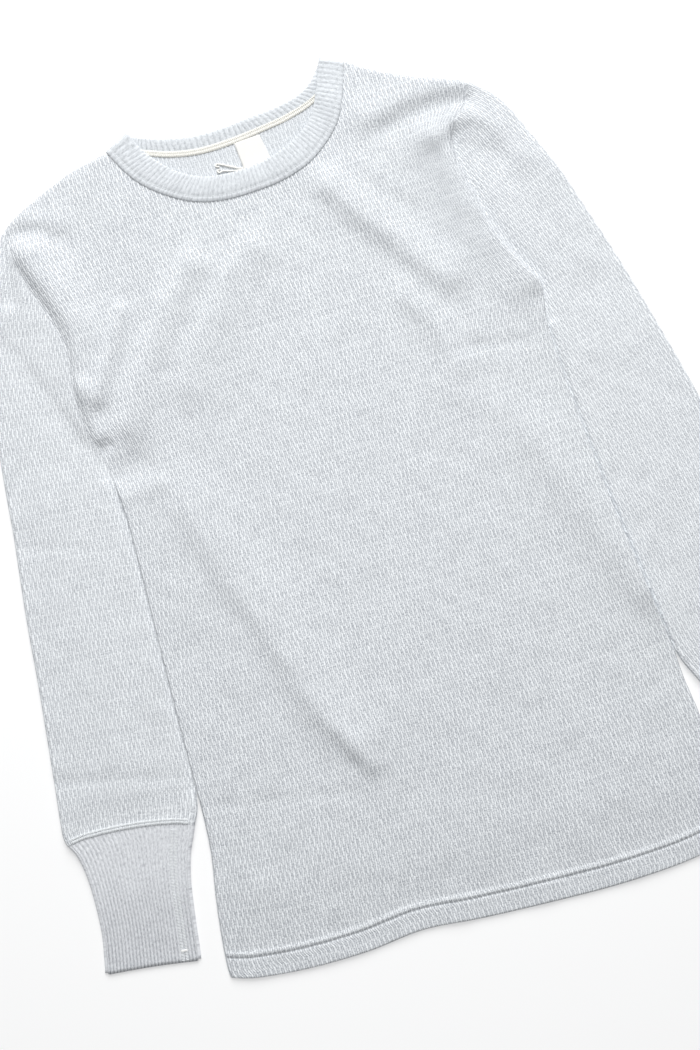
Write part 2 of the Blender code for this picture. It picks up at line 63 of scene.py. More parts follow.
place, aim = Vector(in_metres(CAMERA_PLACE)), Vector(in_metres(CAMERA_AIM))
to_right = Vector((math.cos(TURN), -math.sin(TURN), 0))
backwards = (place - aim).normalized()
camera_turn = Matrix((to_right, backwards.cross(to_right), backwards)).transposed().to_4x4()
camera = bpy.data.objects.new("camera", bpy.data.cameras.new("camera"))
bpy.context.scene.collection.objects.link(camera)
camera.matrix_world = Matrix.Translation(place) @ camera_turn
camera.data.lens = LENS_MM
camera.data.sensor_width = SENSOR_MM
camera.data.clip_start = NEAREST_SEEN
bpy.context.scene.camera = camera
bpy.context.scene.view_settings.view_transform = "Standard"

# A wide white table top that also glows a little, as the soft light that fills its contact shadows does.
TABLE_WIDTH = 6.0           # metres
TABLE_DROP = 0.0001
TABLE_COLOUR = (0.6, 0.602, 0.604, 1)
TABLE_ROUGHNESS = 0.75
TABLE_GLOW = 0.37
table_white = bpy.data.materials.new("white table top")
table_white.use_nodes = True
table_shader = table_white.node_tree.nodes["Principled BSDF"]
table_shader.inputs["Base Color"].default_value = TABLE_COLOUR
table_shader.inputs["Roughness"].default_value = TABLE_ROUGHNESS
table_shader.inputs["Emission Color"].default_value = (1, 1, 1, 1)
table_shader.inputs["Emission Strength"].default_value = TABLE_GLOW
bpy.ops.mesh.primitive_plane_add(size=TABLE_WIDTH, location=(0, 0, -TABLE_DROP))
table = bpy.context.object
table.name = "table_top"
table.data.materials.append(table_white)

# Daylight from a large window beyond the neck, a little to the right, and a soft lamp above the chest,
# over an even white surround. Columns: name, watts, size in metres, place, what it shines at
SURROUND = 0.28
SURROUND_COLOUR = (0.985, 0.993, 1.0, 1)
LIGHTS = (("window", 205, 2.8, (0.85, 3.4, 2.3), (0, 0, 0)),
          ("lamp", 5.5, 0.6, (0, 0.2, 1.3), (0, 0.2, 0)))
for name, watts, size, stand, towards in LIGHTS:
    light = bpy.data.objects.new(name, bpy.data.lights.new(name, "AREA"))
    light.data.shape = "SQUARE"
    light.data.size = size
    light.data.energy = watts
    light.location = stand
    light.rotation_euler = (Vector(stand) - Vector(towards)).to_track_quat("Z", "Y").to_euler()
    bpy.context.scene.collection.objects.link(light)
surround = bpy.data.worlds.new("white surround")
surround.use_nodes = True
background = surround.node_tree.nodes["Background"]
background.inputs["Color"].default_value = SURROUND_COLOUR
background.inputs["Strength"].default_value = SURROUND
bpy.context.scene.world = surround


# ---------------------------------------------------------------------------- front
# The front half of the body tube, knitted in tuck rib: bands of short raised loops, each band shifted by
# half a loop. The hem is turned up and cover stitched, and the cloth is taken up in soft folds at both
# armholes, under the neckband and across the lower left.
CURVE_STEPS = 16            # steps in which a curve's length is measured between two rows


def along(table_rows, row_places):
    """A smooth curve through a table's rows, read at row numbers that may be fractions."""
    row_places = np.clip(np.asarray(row_places, float), 0, len(table_rows) - 1)
    row = np.minimum(row_places.astype(int), len(table_rows) - 2)
    part = (row_places - row)[..., None]
    before = table_rows[np.maximum(row - 1, 0)]
    start, end = table_rows[row], table_rows[row + 1]
    after = table_rows[np.minimum(row + 2, len(table_rows) - 1)]
    slope_in, slope_out = (end - before) / 2, (after - start) / 2
    return (start * (1 + 2 * part) * (1 - part) ** 2 + slope_in * part * (1 - part) ** 2
            + end * part ** 2 * (3 - 2 * part) + slope_out * part ** 2 * (part - 1))


def length_along(points):
    """Length of a line in plan, from its start to each of its points."""
    steps = np.linalg.norm(np.diff(points[:, :2], axis=0), axis=1)
    return np.concatenate(([0], np.cumsum(steps)))


def along_length(table_rows, fractions):
    """The same curve, read at fractions of the length of its first two columns."""
    fine = np.linspace(0, len(table_rows) - 1, CURVE_STEPS * len(table_rows))
    length = length_along(along(table_rows, fine))
    return along(table_rows, np.interp(np.asarray(fractions) * length[-1], length, fine))


def unit(vectors):
    """The vectors at length 1."""
    return vectors / np.maximum(np.linalg.norm(vectors, axis=-1, keepdims=True), 1e-9)


def bell(distance, width, power=2):
    """1 at no distance, falling off smoothly on both sides over a width."""
    return np.exp(-(distance / width) ** power)


def ease(values):
    """0 below 0, 1 above 1, and a smooth rise between."""
    part = np.clip(values, 0, 1)
    return part * part * (3 - 2 * part)


# Sides of the body below the sleeves. Columns: left_x, left_y, right_x, right_y
SIDES = np.array((
    (-223, -335, 223, -361), (-225.5, -331, 225.5, -357), (-225, -317, 225, -343), (-222, -292, 224, -308),
    (-217, -262, 223, -272), (-211, -232, 222, -241), (-208, -203, 220, -214)), float)
# Sleeves from the shoulder tip down to the cuff seam; the inner edge is the armhole seam down to row
# ARMPIT_ROW, then the underarm fold. Columns: inner_x, inner_y, outer_x, outer_y
SLEEVE_LEFT = np.array((
    (-222, 345, -226, 341.5), (-223, 322, -239, 319), (-220, 298, -252, 293), (-214, 275, -261, 266),
    (-207, 250, -268, 240), (-203, 226, -274, 214), (-205, 200, -279, 186), (-207, 172, -283, 160),
    (-205, 147, -286, 137), (-199, 128, -289, 112), (-196, 95, -292, 84), (-195, 60, -297, 48),
    (-197, 15, -303, 4), (-200, -40, -309, -50), (-203, -95, -316, -105), (-205.5, -150, -322, -150),
    (-206.5, -176, -325, -172), (-210, -191, -325.5, -180), (-216, -203, -324, -187)), float)
SLEEVE_RIGHT = np.array((
    (209, 350, 213, 347), (205, 332, 230, 331), (190, 317, 240, 314), (182, 298, 248, 293),
    (182, 270, 257, 268), (187, 238, 266, 242), (193, 212, 273, 214), (200, 190, 280, 186),
    (209, 170, 287, 157), (215, 151, 292, 133), (209, 115, 299, 98), (208, 63, 308, 50),
    (209, 15, 315, 8), (210, -40, 322, -42), (213, -95, 328, -90), (217, -150, 333, -138),
    (219.5, -187, 336, -170), (224, -204, 337, -186), (231, -221, 338, -199)), float)
ARMPIT_ROW = 9
PART_ROW = 16
# Shoulder outlines and the neck seam under the band. Columns: x, y
SHOULDER_LEFT = np.array(((-222, 345), (-213, 351.5), (-199, 359), (-176, 369), (-150, 378.5),
                          (-118.5, 385)), float)
SHOULDER_RIGHT = np.array(((115, 399.5), (126, 391.5), (141, 382), (166, 369), (190, 358.5),
                           (209, 350)), float)
FRONT_NECK = np.array(((-116, 383.5), (-108, 369), (-95, 351), (-77, 335), (-54, 321), (-28, 314.5),
                       (0, 313.5), (28, 316), (51, 323), (70, 334.5), (86.5, 350), (99, 371),
                       (112, 397.5)), float)
HEM = np.array(((-225, -333), (-203, -340), (-160, -346), (-110, -348), (-60, -345.5), (-10, -351.5),
                (50, -357), (110, -361), (165, -361), (205, -357.5), (225, -360)), float)

# Folds, soft ridges (+) and troughs (-) along a line: those of the body, of both, and of the sleeves.
# Lines run downwards or to the right. Columns: rise at the first point, rise at the last, half width on
# the line's right side, half width on its left side, points (x, y) of the line
BODY_FOLDS = (
    (-0.4, -0.4, 22, 22, ((-106, 372), (-80, 333), (-40, 312), (0, 307), (40, 313), (80, 338), (104, 378))),
    (8.2, 5.4, 11, 24, ((-211, 312), (-205, 291), (-197, 267), (-190, 241), (-191, 216), (-197, 184))),
    (3.8, 2.8, 9, 10, ((-197, 184), (-200, 160), (-196, 142))),
    (3.4, 2.6, 6, 9, ((-147, 242), (-160, 217), (-174, 196), (-187, 173))),
    (4.3, 4.3, 11, 19, ((-76, 264), (-104, 236), (-124, 210), (-142, 186), (-157, 162), (-168, 144))),
    (4.2, 3.0, 12, 24, ((-22, 262), (-44, 244), (-68, 216), (-92, 188), (-108, 164))),
    (-3.4, -2.4, 8, 15, ((-203, 108), (-188, 105), (-172, 103))),
    (-3.0, -3.0, 5, 5, ((-201, 125), (-191, 131))),
    (1.1, 0.9, 8, 7, ((-194, 83), (-176, 84), (-156, 85))),
    (2.8, 5.2, 25, 13, ((176, 284), (177, 264), (182, 236), (189, 208), (197, 184), (207, 162))),
    (-1.0, -1.0, 5, 6, ((200, 143), (207, 141))),
    (5.4, 4.0, 12, 20, ((64, 292), (86, 256), (106, 228), (121, 201), (136, 182))),
    (1.4, 1.2, 8, 12, ((98, 302), (127, 268))),
    (3.2, 2.4, 11, 16, ((98, 174), (112, 150), (118, 130), (121, 106))),
    (-0.8, -1.1, 4, 5, ((124, 117), (153, 113), (182, 107))),
    (1.2, 1.2, 12, 20, ((112, 80), (154, 40))),
    (3.4, 6.4, 22, 28, ((168, 18), (180, -18), (192, -54), (204, -90), (216, -130))),
    (3.6, 4.6, 14, 34, ((-139, 52), (-134, 28), (-126, -14), (-108, -59), (-97, -104), (-85, -147),
                        (-70, -178))),
    (0.2, 2.0, 7, 10, ((-90, -126), (-80, -156), (-67, -182), (-60, -201))),
    (-0.6, -1.2, 6, 6, ((-82, -174), (-74, -194))),
    (-0.5, -0.5, 5, 5, ((-201, -192), (-140, -206), (-75, -219))),
    (1.2, 1.4, 130, 130, ((8, 130), (6, 0), (4, -90))))
SHARED_FOLDS = (
    (-2.4, -1.6, 10, 6, ((-208, 337), (-194, 332), (-180, 322))),
    (1.8, 1.6, 8, 12, ((-212, 347), (-194, 346), (-172, 336))),
    (2.9, 4.0, 10, 18, ((114, 343), (150, 350), (175, 352), (201, 348))),
    (-1.4, -2.2, 7, 7, ((124, 328), (150, 333), (176, 335), (204, 331))),
    (1.3, 1.9, 16, 12, ((132, 302), (152, 307), (166, 306))),
    (4.2, 1.6, 9, 17, ((168, 308), (186, 317), (202, 318), (216, 307), (226, 288), (233, 264))))
SLEEVE_FOLDS = (
    (-2.4, -2.4, 7, 7, ((-208, 335), (-219, 321), (-229, 302), (-236, 280))),
    (0.4, 0.4, 22, 22, ((-248, 296), (-254, 262), (-262, 205), (-262, 150))),
    (2.8, 0.4, 34, 10, ((-214, 302), (-208, 262), (-203, 236), (-204, 200), (-206, 176), (-204, 140))),
    (-0.9, -1.7, 14, 5, ((-254, 247), (-242, 226), (-234, 202), (-224, 174), (-213, 152), (-203, 136))),
    (-3.6, -1.8, 26, 8, ((184, 288), (196, 286), (208, 280))),
    (1.4, 1.2, 20, 20, ((250, 264), (255, 220), (262, 165))),
    (-0.5, -0.5, 4, 4, ((-288, 66), (-260, 58), (-230, 48))),
    (-0.8, -0.6, 5, 5, ((-318, -133), (-270, -146), (-214, -161))),
    (1.5, 1.2, 30, 30, ((-244, 90), (-258, -30), (-266, -150))),
    (1.5, 1.2, 30, 30, ((256, 90), (268, -30), (277, -160))))
# Slight unevenness of the whole cloth, from waves of many lengths; the longer ones rise more
RIPPLES = 40
RIPPLE_RISE = 0.055
RIPPLE_LENGTHS = (16, 75)
RIPPLE_GROWTH = 0.7
RIPPLE_SEED = 7
ripple_random = np.random.default_rng(RIPPLE_SEED)
ripple_length = np.exp(ripple_random.uniform(*np.log(RIPPLE_LENGTHS), RIPPLES))
ripple_angle = ripple_random.uniform(0, 2 * math.pi, RIPPLES)
ripple_start = ripple_random.uniform(0, 2 * math.pi, RIPPLES)
FLAT_TOP = 5.2              # height over the table of the cloth where it has no fold
LOWEST_TOP = 3.2            # no trough goes below this, and those near it are eased out over BOTTOM_EASE
BOTTOM_EASE = 0.5
EDGE_LOW = 0.5              # height of the body's edges


def top_height(x, y, folds):
    """Height over the table of the cloth that faces up, folds included."""
    here = np.stack((x, y), axis=-1)
    height = np.full(here.shape[:-1], FLAT_TOP)
    for rise_start, rise_end, right_width, left_width, line in folds + SHARED_FOLDS:
        line = np.array(line, float)
        nearest = np.full(height.shape, np.inf)
        share, side = np.zeros(height.shape), np.zeros(height.shape)
        for number, (start, end) in enumerate(zip(line[:-1], line[1:])):
            step = end - start
            part = np.clip(((here - start) @ step) / (step @ step), 0, 1)
            away = here - start - part[..., None] * step
            distance = np.maximum(np.linalg.norm(away, axis=-1), 1e-6)
            to_left = (step[0] * away[..., 1] - step[1] * away[..., 0]) / np.linalg.norm(step) / distance
            closer = distance < nearest
            share = np.where(closer, (number + part) / (len(line) - 1), share)
            side = np.where(closer, to_left, side)
            nearest = np.minimum(nearest, distance)
        rise = rise_start + (rise_end - rise_start) * share
        half_width = (left_width + right_width) / 2 + (left_width - right_width) / 2 * side
        height = height + rise * bell(nearest, half_width)
    for length, angle, start in zip(ripple_length, ripple_angle, ripple_start):
        turn = (x * math.cos(angle) + y * math.sin(angle)) * 2 * math.pi / length + start
        height = height + RIPPLE_RISE * (length / RIPPLE_LENGTHS[1]) ** RIPPLE_GROWTH * np.sin(turn)
    spare = height - LOWEST_TOP
    eased = BOTTOM_EASE * np.exp(np.minimum(spare, BOTTOM_EASE) / BOTTOM_EASE - 1)
    return LOWEST_TOP + np.where(spare > BOTTOM_EASE, spare, eased)


def add_piece(name, points, faces, finish, knit_places=None):
    """A piece from points in millimetres, with the knit's own coordinates at each corner of each face."""
    mesh = bpy.data.meshes.new(name)
    mesh.from_pydata(in_metres(points).tolist(), [], faces)
    if knit_places is not None:
        mesh.uv_layers.new(name="UVMap")
        mesh.uv_layers["UVMap"].data.foreach_set("uv", np.asarray(knit_places, np.float32).ravel())
    mesh.validate()
    mesh.shade_smooth()
    mesh.materials.append(finish)
    piece = bpy.data.objects.new(name, mesh)
    bpy.context.scene.collection.objects.link(piece)
    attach(piece, "root")
    return piece


def grid_faces(index, places, turned=False):
    """Faces of a grid of point numbers, with the knit's coordinates at their corners."""
    corners = np.stack((index[:-1, :-1], index[:-1, 1:], index[1:, 1:], index[1:, :-1]), -1)
    spots = np.stack((places[:-1, :-1], places[:-1, 1:], places[1:, 1:], places[1:, :-1]), -2)
    faces, face_places = [], []
    for ids, spot in zip(corners.reshape(-1, 4).tolist(), spots.reshape(-1, 4, 2).tolist()):
        kept = [k for k in range(4) if ids[k] != ids[k - 1]]
        if len(kept) < 3 or len({ids[k] for k in kept}) < len(kept):
            continue
        if turned:
            kept.reverse()
        faces.append([ids[k] for k in kept])
        face_places += [spot[k] for k in kept]
    return faces, face_places


LOOP_TOP = 0.8
HOLLOW_DEPTH = 1.2
GROOVE_DEPTH = 0.9          # of the line beside each wale
BAND_EDGE = 2.0             # how sharply one band of loops gives way to the next
HOLLOW_POWER = 2.3          # above 1, the hollows are narrower than the loops


def loops_of_knit(wale, band):
    """The tuck rib's relief: raised loops, the sunk wales between them, and a deep line beside each wale."""
    phase = np.cos(np.pi * wale) * np.clip(BAND_EDGE * np.sin(np.pi * band), -1, 1)
    hollow = ((1 - phase) / 2) ** HOLLOW_POWER
    return LOOP_TOP - HOLLOW_DEPTH * hollow - GROOVE_DEPTH * np.sin(np.pi * wale) ** 2


def renumber(points, faces):
    """The points that the faces use, and the faces with their new numbers."""
    used, numbers = np.unique(np.concatenate([np.array(face) for face in faces]), return_inverse=True)
    cuts = np.cumsum([len(face) for face in faces])[:-1]
    return points[used], [face.tolist() for face in np.split(numbers, cuts)]


def roll(distance, radius):
    """Rise of a turned-over edge, 0 at the edge and 1 from radius inwards."""
    part = 1 - np.clip(distance / radius, 0, 1)
    return np.sqrt(1 - part * part)


def slope_down(distance, radius):
    """The same, but with a slanting side that can be seen from above."""
    return np.sin(np.clip(distance / radius, 0, 1) * math.pi / 2)


class ClothPattern:
    """A node group that turns two yarns' colours, and the strengths of the painted shade in the hollows and
    of the flecks, into a colour and a height."""

    def __init__(self, name):
        self.group = bpy.data.node_groups.new(name, "ShaderNodeTree")
        self.nodes, self.links = self.group.nodes, self.group.links
        for socket_name, way, kind in (("Light Yarn", "INPUT", "Color"), ("Dark Yarn", "INPUT", "Color"),
                                       ("Painted Hollow Shade", "INPUT", "Float"), ("Flecks", "INPUT", "Float"),
                                       ("Colour", "OUTPUT", "Color"), ("Height", "OUTPUT", "Float")):
            self.group.interface.new_socket(socket_name, in_out=way, socket_type="NodeSocket" + kind)
        self.given = self.nodes.new("NodeGroupInput").outputs
        uv = self.nodes.new("ShaderNodeUVMap")
        uv.uv_map = "UVMap"
        self.uv = uv.outputs["UV"]
        split = self.nodes.new("ShaderNodeSeparateXYZ")
        self.links.new(self.uv, split.inputs[0])
        self.wale, self.band = split.outputs["X"], split.outputs["Y"]

    def math(self, operation, first, second=None, clamp=False):
        node = self.nodes.new("ShaderNodeMath")
        node.operation = operation
        node.use_clamp = clamp
        for socket, value in zip(node.inputs, (first, second)):
            if isinstance(value, (int, float)):
                socket.default_value = value
            elif value is not None:
                self.links.new(value, socket)
        return node.outputs[0]

    def times(self, first, second):
        return self.math("MULTIPLY", first, second)

    def total(self, *values):
        added = values[0]
        for value in values[1:]:
            added = self.math("ADD", added, value)
        return added

    def centred(self, value, strength):
        """A value from 0 to 1 made to vary round 0 by that strength."""
        return self.times(self.math("SUBTRACT", value, 0.5), strength)

    def half_rest(self, value):
        """0 where the value is 1, and 1 where it is -1."""
        return self.math("MULTIPLY", self.math("SUBTRACT", 1, value), 0.5, clamp=True)

    def noise(self, across, upwards, detail, roughness, scale=1.0, output="Fac"):
        """Noise with a grain of its own across the wales and along them."""
        stretch = self.nodes.new("ShaderNodeMapping")
        stretch.inputs["Scale"].default_value = (across, upwards, 1)
        self.links.new(self.uv, stretch.inputs["Vector"])
        made = self.nodes.new("ShaderNodeTexNoise")
        for socket, value in (("Scale", scale), ("Detail", detail), ("Roughness", roughness)):
            made.inputs[socket].default_value = value
        self.links.new(stretch.outputs[0], made.inputs["Vector"])
        return made.outputs[output]

    def give(self, shade, height):
        """The finished group: the light yarn turned to the dark one by the shade (flecks and the painted
        shade of the hollows), and the height.
        """
        mix = self.nodes.new("ShaderNodeMix")
        mix.data_type = "RGBA"
        result = self.nodes.new("NodeGroupOutput")
        self.links.new(shade, mix.inputs["Factor"])
        self.links.new(self.given["Light Yarn"], mix.inputs["A"])
        self.links.new(self.given["Dark Yarn"], mix.inputs["B"])
        self.links.new(mix.outputs["Result"], result.inputs["Colour"])
        self.links.new(height, result.inputs["Height"])
        return self.group


# Tuck-rib cloth: light loops over hollows darkened with painted shade, in flecked yarn of grey and white
# fibres.
LOOP_WANDER = (1.0, 0.8)    # how far the loops stray across and along, in wales and bands
LOOP_BAND_EDGE = 1.7
LOOP_LEAN = 0.14
GROOVE_POWER = 1.4
# painted shade: how much the loops' hollows and the lines beside the wales darken the colour
HOLLOW_PAINTED_SHADE, GROOVE_PAINTED_SHADE, BASE_SHADE = 0.46, 0.52, 0.04
SPECK_SHADE, STREAK_SHADE, LOOP_SHADE = 5.2, 2.0, 0.22
PATCH_SHADE, COURSE_SHADE = 0.14, 0.16


def tuck_rib_pattern():
    """The tuck rib's colour, with painted shade in its hollows, and fine height, over the same loops as the
    relief.
    """
    knit = ClothPattern("tuck rib knit")
    # the loops wander a little from their straight lines and lean, and each has its own depth
    wander = knit.nodes.new("ShaderNodeSeparateColor")
    stray = knit.noise(across=1, upwards=2.2, detail=2, roughness=0.6, scale=0.8, output="Color")
    knit.links.new(stray, wander.inputs[0])
    wale = knit.total(knit.wale, knit.centred(wander.outputs[0], LOOP_WANDER[0]))
    band = knit.total(knit.band, knit.centred(wander.outputs[1], LOOP_WANDER[1]))
    wale_turn, band_turn = knit.times(wale, math.pi), knit.times(band, math.pi)
    down = knit.times(knit.math("SINE", band_turn), LOOP_BAND_EDGE)
    down = knit.math("MAXIMUM", knit.math("MINIMUM", down, 1), -1)
    lean = knit.times(knit.math("SINE", wale_turn), knit.math("COSINE", band_turn))
    phase = knit.total(knit.times(knit.math("COSINE", wale_turn), down), knit.times(lean, LOOP_LEAN))
    hollow = knit.math("POWER", knit.half_rest(phase), HOLLOW_POWER)
    twice = knit.math("COSINE", knit.times(wale_turn, 2))
    groove = knit.math("POWER", knit.half_rest(twice), GROOVE_POWER)
    cell = knit.nodes.new("ShaderNodeCombineXYZ")
    knit.links.new(knit.math("ROUND", wale), cell.inputs[0])
    knit.links.new(knit.math("FLOOR", band), cell.inputs[1])
    each_loop = knit.nodes.new("ShaderNodeTexWhiteNoise")
    each_loop.noise_dimensions = "2D"
    knit.links.new(cell.outputs[0], each_loop.inputs["Vector"])

    # light and dark fibres spun together: specks, streaks along the yarn and broad uneven patches
    specks = knit.noise(across=1.5, upwards=6.8, detail=3, roughness=0.75)
    streaks = knit.noise(across=2.2, upwards=2.8, detail=4, roughness=0.7)
    fleck = knit.total(knit.centred(specks, SPECK_SHADE), knit.centred(streaks, STREAK_SHADE),
                       knit.centred(each_loop.outputs["Value"], LOOP_SHADE))
    patches = knit.noise(across=0.17, upwards=0.7, detail=3, roughness=0.6)
    courses = knit.noise(across=0.03, upwards=1.1, detail=3, roughness=0.6)
    uneven = knit.total(knit.centred(patches, PATCH_SHADE), knit.centred(courses, COURSE_SHADE))
    # painted shade in the loops' hollows and in the lines beside the wales
    dark = knit.total(knit.times(hollow, HOLLOW_PAINTED_SHADE), knit.times(groove, GROOVE_PAINTED_SHADE))
    return knit.give(
        knit.total(knit.times(dark, knit.given["Painted Hollow Shade"]), knit.times(fleck, knit.given["Flecks"]),
                   uneven, BASE_SHADE),
        knit.total(knit.times(groove, -GROOVE_DEPTH), specks, streaks))


tuck_rib = tuck_rib_pattern()
FIBRE_HEIGHT = 0.0004       # metres
KNIT_ROUGHNESS, KNIT_SPECULAR, KNIT_SHEEN = 0.95, 0.15, 0.12


def cloth_material(name, roughness, specular, sheen):
    """A new matte cloth material, its tree and its shader."""
    made = bpy.data.materials.new(name)
    made.use_nodes = True
    shader = made.node_tree.nodes["Principled BSDF"]
    shader.inputs["Roughness"].default_value = roughness
    shader.inputs["Specular IOR Level"].default_value = specular
    shader.inputs["Sheen Weight"].default_value = sheen
    return made, made.node_tree, shader


def add_bump(tree, shader, height, strength, distance):
    """Fine relief from a height socket."""
    relief = tree.nodes.new("ShaderNodeBump")
    relief.inputs["Strength"].default_value = strength
    relief.inputs["Distance"].default_value = distance
    tree.links.new(height, relief.inputs["Height"])
    tree.links.new(relief.outputs["Normal"], shader.inputs["Normal"])


def knit_material(name, group, light, dark, painted_hollow_shade, flecks, bump):
    """Knitted cloth from a node group, in a light and a dark yarn; the dark one also gives the painted shade
    of the hollows.
    """
    made, tree, shader = cloth_material(name, KNIT_ROUGHNESS, KNIT_SPECULAR, KNIT_SHEEN)
    knit = tree.nodes.new("ShaderNodeGroup")
    knit.node_tree = group
    for socket, value in (("Light Yarn", (*light, 1)), ("Dark Yarn", (*dark, 1)), ("Painted Hollow Shade", painted_hollow_shade),
                          ("Flecks", flecks)):
        knit.inputs[socket].default_value = value
    tree.links.new(knit.outputs["Colour"], shader.inputs["Base Color"])
    add_bump(tree, shader, knit.outputs["Height"], bump, FIBRE_HEIGHT)
    return made


# The dark yarn gives both the dark fibres' flecks and the painted shade of the hollows.
LIGHT_YARN = (0.895, 0.925, 0.95)
DARK_YARN = (0.33, 0.35, 0.385)
body_knit = knit_material("heather tuck rib", tuck_rib, LIGHT_YARN, DARK_YARN,
                          painted_hollow_shade=1.0, flecks=0.5, bump=0.7)

WALES = 228                 # loops across the front, counting each half step
BANDS = 97                  # bands of loops from the hem to the highest point
BAND_ROWS = (0.17, 0.83)    # rows of points in each band
BAND_DEPTH = 7.6            # length of a band beside the hem
COURSE_STRETCH = 0.00026    # the bands grow a little longer upwards
CROWN_TOP, CROWN_SLANT, CROWN_BOW = 403, 0.03, 0.00014      # line of the highest band
EDGE_WALES = np.array((0, 0.14, 0.45, 0.8))
END_STEPS = np.array((2.0, 0.8, 0.25, 0))   # close points at the end of each column, and the room for them
END_SPACE = 2.6
ROUNDS = 4                  # of settling where a wale and a course, or a wale and the upper edge, cross
LOOP_RISE = 0.3
LOOP_FADE = 3.0             # width beside an edge over which the loops flatten out
SIDE_RADIUS = 3.4
CONTACT_CREASE = 1.2        # the side turns under more tightly where it lies against the sleeve
LEFT_SLOPE, RIGHT_SLOPE = 7.0, 6.5      # widths of the body's slope at the armholes
CONTACT_LOW = 2.8           # height at which the body's side lies on the sleeve
LEFT_CONTACT = (3.2, 7.4)   # the same at the left, below the armpit and above it, where the sleeve is bunched
CONTACT_RISE = (15, 45)     # that rise starts this far below the armpit, and its length
LEFT_PART, RIGHT_PART = -176, -187      # below these the sleeves lie clear of the body
PART_LENGTH = 22
LEFT_TIP, RIGHT_TIP = 314, 315          # above these the shoulder runs on into the sleeve
TIP_LENGTH = 14
LEFT_ARMPIT, RIGHT_ARMPIT = 128, 151
ARMHOLE_BLEND = 20
LEFT_TOP, RIGHT_TOP = 345, 350          # the armholes' upper ends
LEFT_EASY, RIGHT_EASY = (-199, -222), (215, 209)    # x of the undrawn cloth at the armpit and the upper end
PULL = 46                   # how far from the armhole the cloth is drawn in
HEM_FALL, HEM_FALL_LENGTH = 2.3, 80     # the cloth comes down towards the hem
HEM_DEPTH = 17.3            # the turned-up hem ends here in a sewn groove, with a soft roll above it
HEM_GROOVE, HEM_GROOVE_WIDTH = 0.55, 0.7
HEM_ROLL = 20.6
HEM_ROLL_RISE, HEM_ROLL_WIDTH = 0.6, 2.0
HEM_RADIUS = 1.3
HEM_SPACE = 0.2             # room between the hem's rows and the first band above them, in bands
HEM_ROWS = np.array((0, 0.3, 0.8, 1.6, 3.4, 5.8, 8.4, 11, 13.4, 15.2, 16.2, 16.8, 17.3, 17.8, 18.4, 19.1,
                     19.8, 20.6, 21.4, 22.1, 22.8, 23.6, 25.5))
NECK_HALF, NECK_EASE = 118, 4           # the edge is not rolled under the neckband
SEAM_GAP = 0.03             # left between pieces that are sewn together, fading out over GAP_FADE
GAP_FADE = 2
SIDE_STEPS, HEM_STEPS, SHOULDER_STEPS, NECK_STEPS = 600, 400, 120, 240


def side_line(sleeve, columns):
    """x of one side of the body at any y, from the hem to the shoulder tip."""
    line = np.concatenate((SIDES[:, columns], sleeve[PART_ROW::-1, :2]))
    fine = along(line, np.linspace(0, len(line) - 1, SIDE_STEPS))
    order = np.argsort(fine[:, 1])
    return lambda y: np.interp(y, fine[order, 1], fine[order, 0])


def upper_edge(neck, drop=0):
    """A panel's upper edge: a shoulder, the neck and the other shoulder, the shoulders lowered by drop."""
    left, right = (along_length(shoulder, np.linspace(0, 1, SHOULDER_STEPS)) - (0, drop)
                   for shoulder in (SHOULDER_LEFT, SHOULDER_RIGHT))
    return np.concatenate((left, along_length(neck, np.linspace(0, 1, NECK_STEPS)), right))


left_side = side_line(SLEEVE_LEFT, slice(0, 2))
right_side = side_line(SLEEVE_RIGHT, slice(2, 4))
hem_line = along_length(HEM, np.linspace(0, 1, HEM_STEPS))
top_line = upper_edge(FRONT_NECK)


def body_sides(y):
    """x of the body's two sides at any y."""
    return left_side(np.minimum(y, LEFT_TOP)), right_side(np.minimum(y, RIGHT_TOP))


def wale_x(share, y):
    """x of the wale at that share of the width, drawn in beside the armholes."""
    left = np.where(y > LEFT_ARMPIT, np.interp(y, (LEFT_ARMPIT, LEFT_TOP), LEFT_EASY), left_side(y))
    right = np.where(y > RIGHT_ARMPIT, np.interp(y, (RIGHT_ARMPIT, RIGHT_TOP), RIGHT_EASY), right_side(y))
    x = left + share * (right - left)
    x = x + (left_side(y) - left) * bell(x - left, PULL)
    return x + (right_side(y) - right) * bell(right - x, PULL)


def hem_y(x):
    """y of the hem's edge."""
    return np.interp(x, hem_line[:, 0], hem_line[:, 1])


def top_y(x):
    """y of the front's upper edge."""
    return np.interp(x, top_line[:, 0], top_line[:, 1])


def course_y(x, share):
    """Height on the body of the course at that share of the length; courses bow up across the chest."""
    crown = CROWN_TOP + CROWN_SLANT * x - CROWN_BOW * x * x
    return hem_y(x) + (crown - hem_y(x)) * share


def body_grid(wales, bands):
    """Plan of a body panel at each wale and band: x and y."""
    length_share = bands * (1 + COURSE_STRETCH * bands) / (BANDS * (1 + COURSE_STRETCH * BANDS))
    x = np.zeros((len(bands), len(wales)))
    y = np.zeros_like(x)
    for column, share in enumerate(wales / WALES):
        guess = np.full(len(bands), wale_x(share, np.array(0.0)))
        for _ in range(ROUNDS):
            heights = course_y(guess, length_share)
            guess = wale_x(share, np.minimum(heights, RIGHT_TOP))
        x[:, column], y[:, column] = guess, heights
    return x, y


def by_side(x, left, right):
    """The left value where x is on the left half, and the right one elsewhere."""
    return np.where(x < 0, left, right)


def tip_share(x, y):
    """1 at the shoulder's tip, where body and sleeve run into one another, and 0 further down."""
    return ease((y - by_side(x, LEFT_TIP, RIGHT_TIP) + TIP_LENGTH) / TIP_LENGTH)


def contact_height(x, y):
    """Height at which body and sleeve touch."""
    below, above = LEFT_CONTACT
    left = below + (above - below) * ease((y - LEFT_ARMPIT + CONTACT_RISE[0]) / CONTACT_RISE[1])
    return by_side(x, left, CONTACT_LOW)


def over_sleeve(x, y):
    """1 where the body's side lies on the sleeve, and 0 below, where they are apart."""
    return ease((y - by_side(x, LEFT_PART, RIGHT_PART) + PART_LENGTH) / PART_LENGTH)


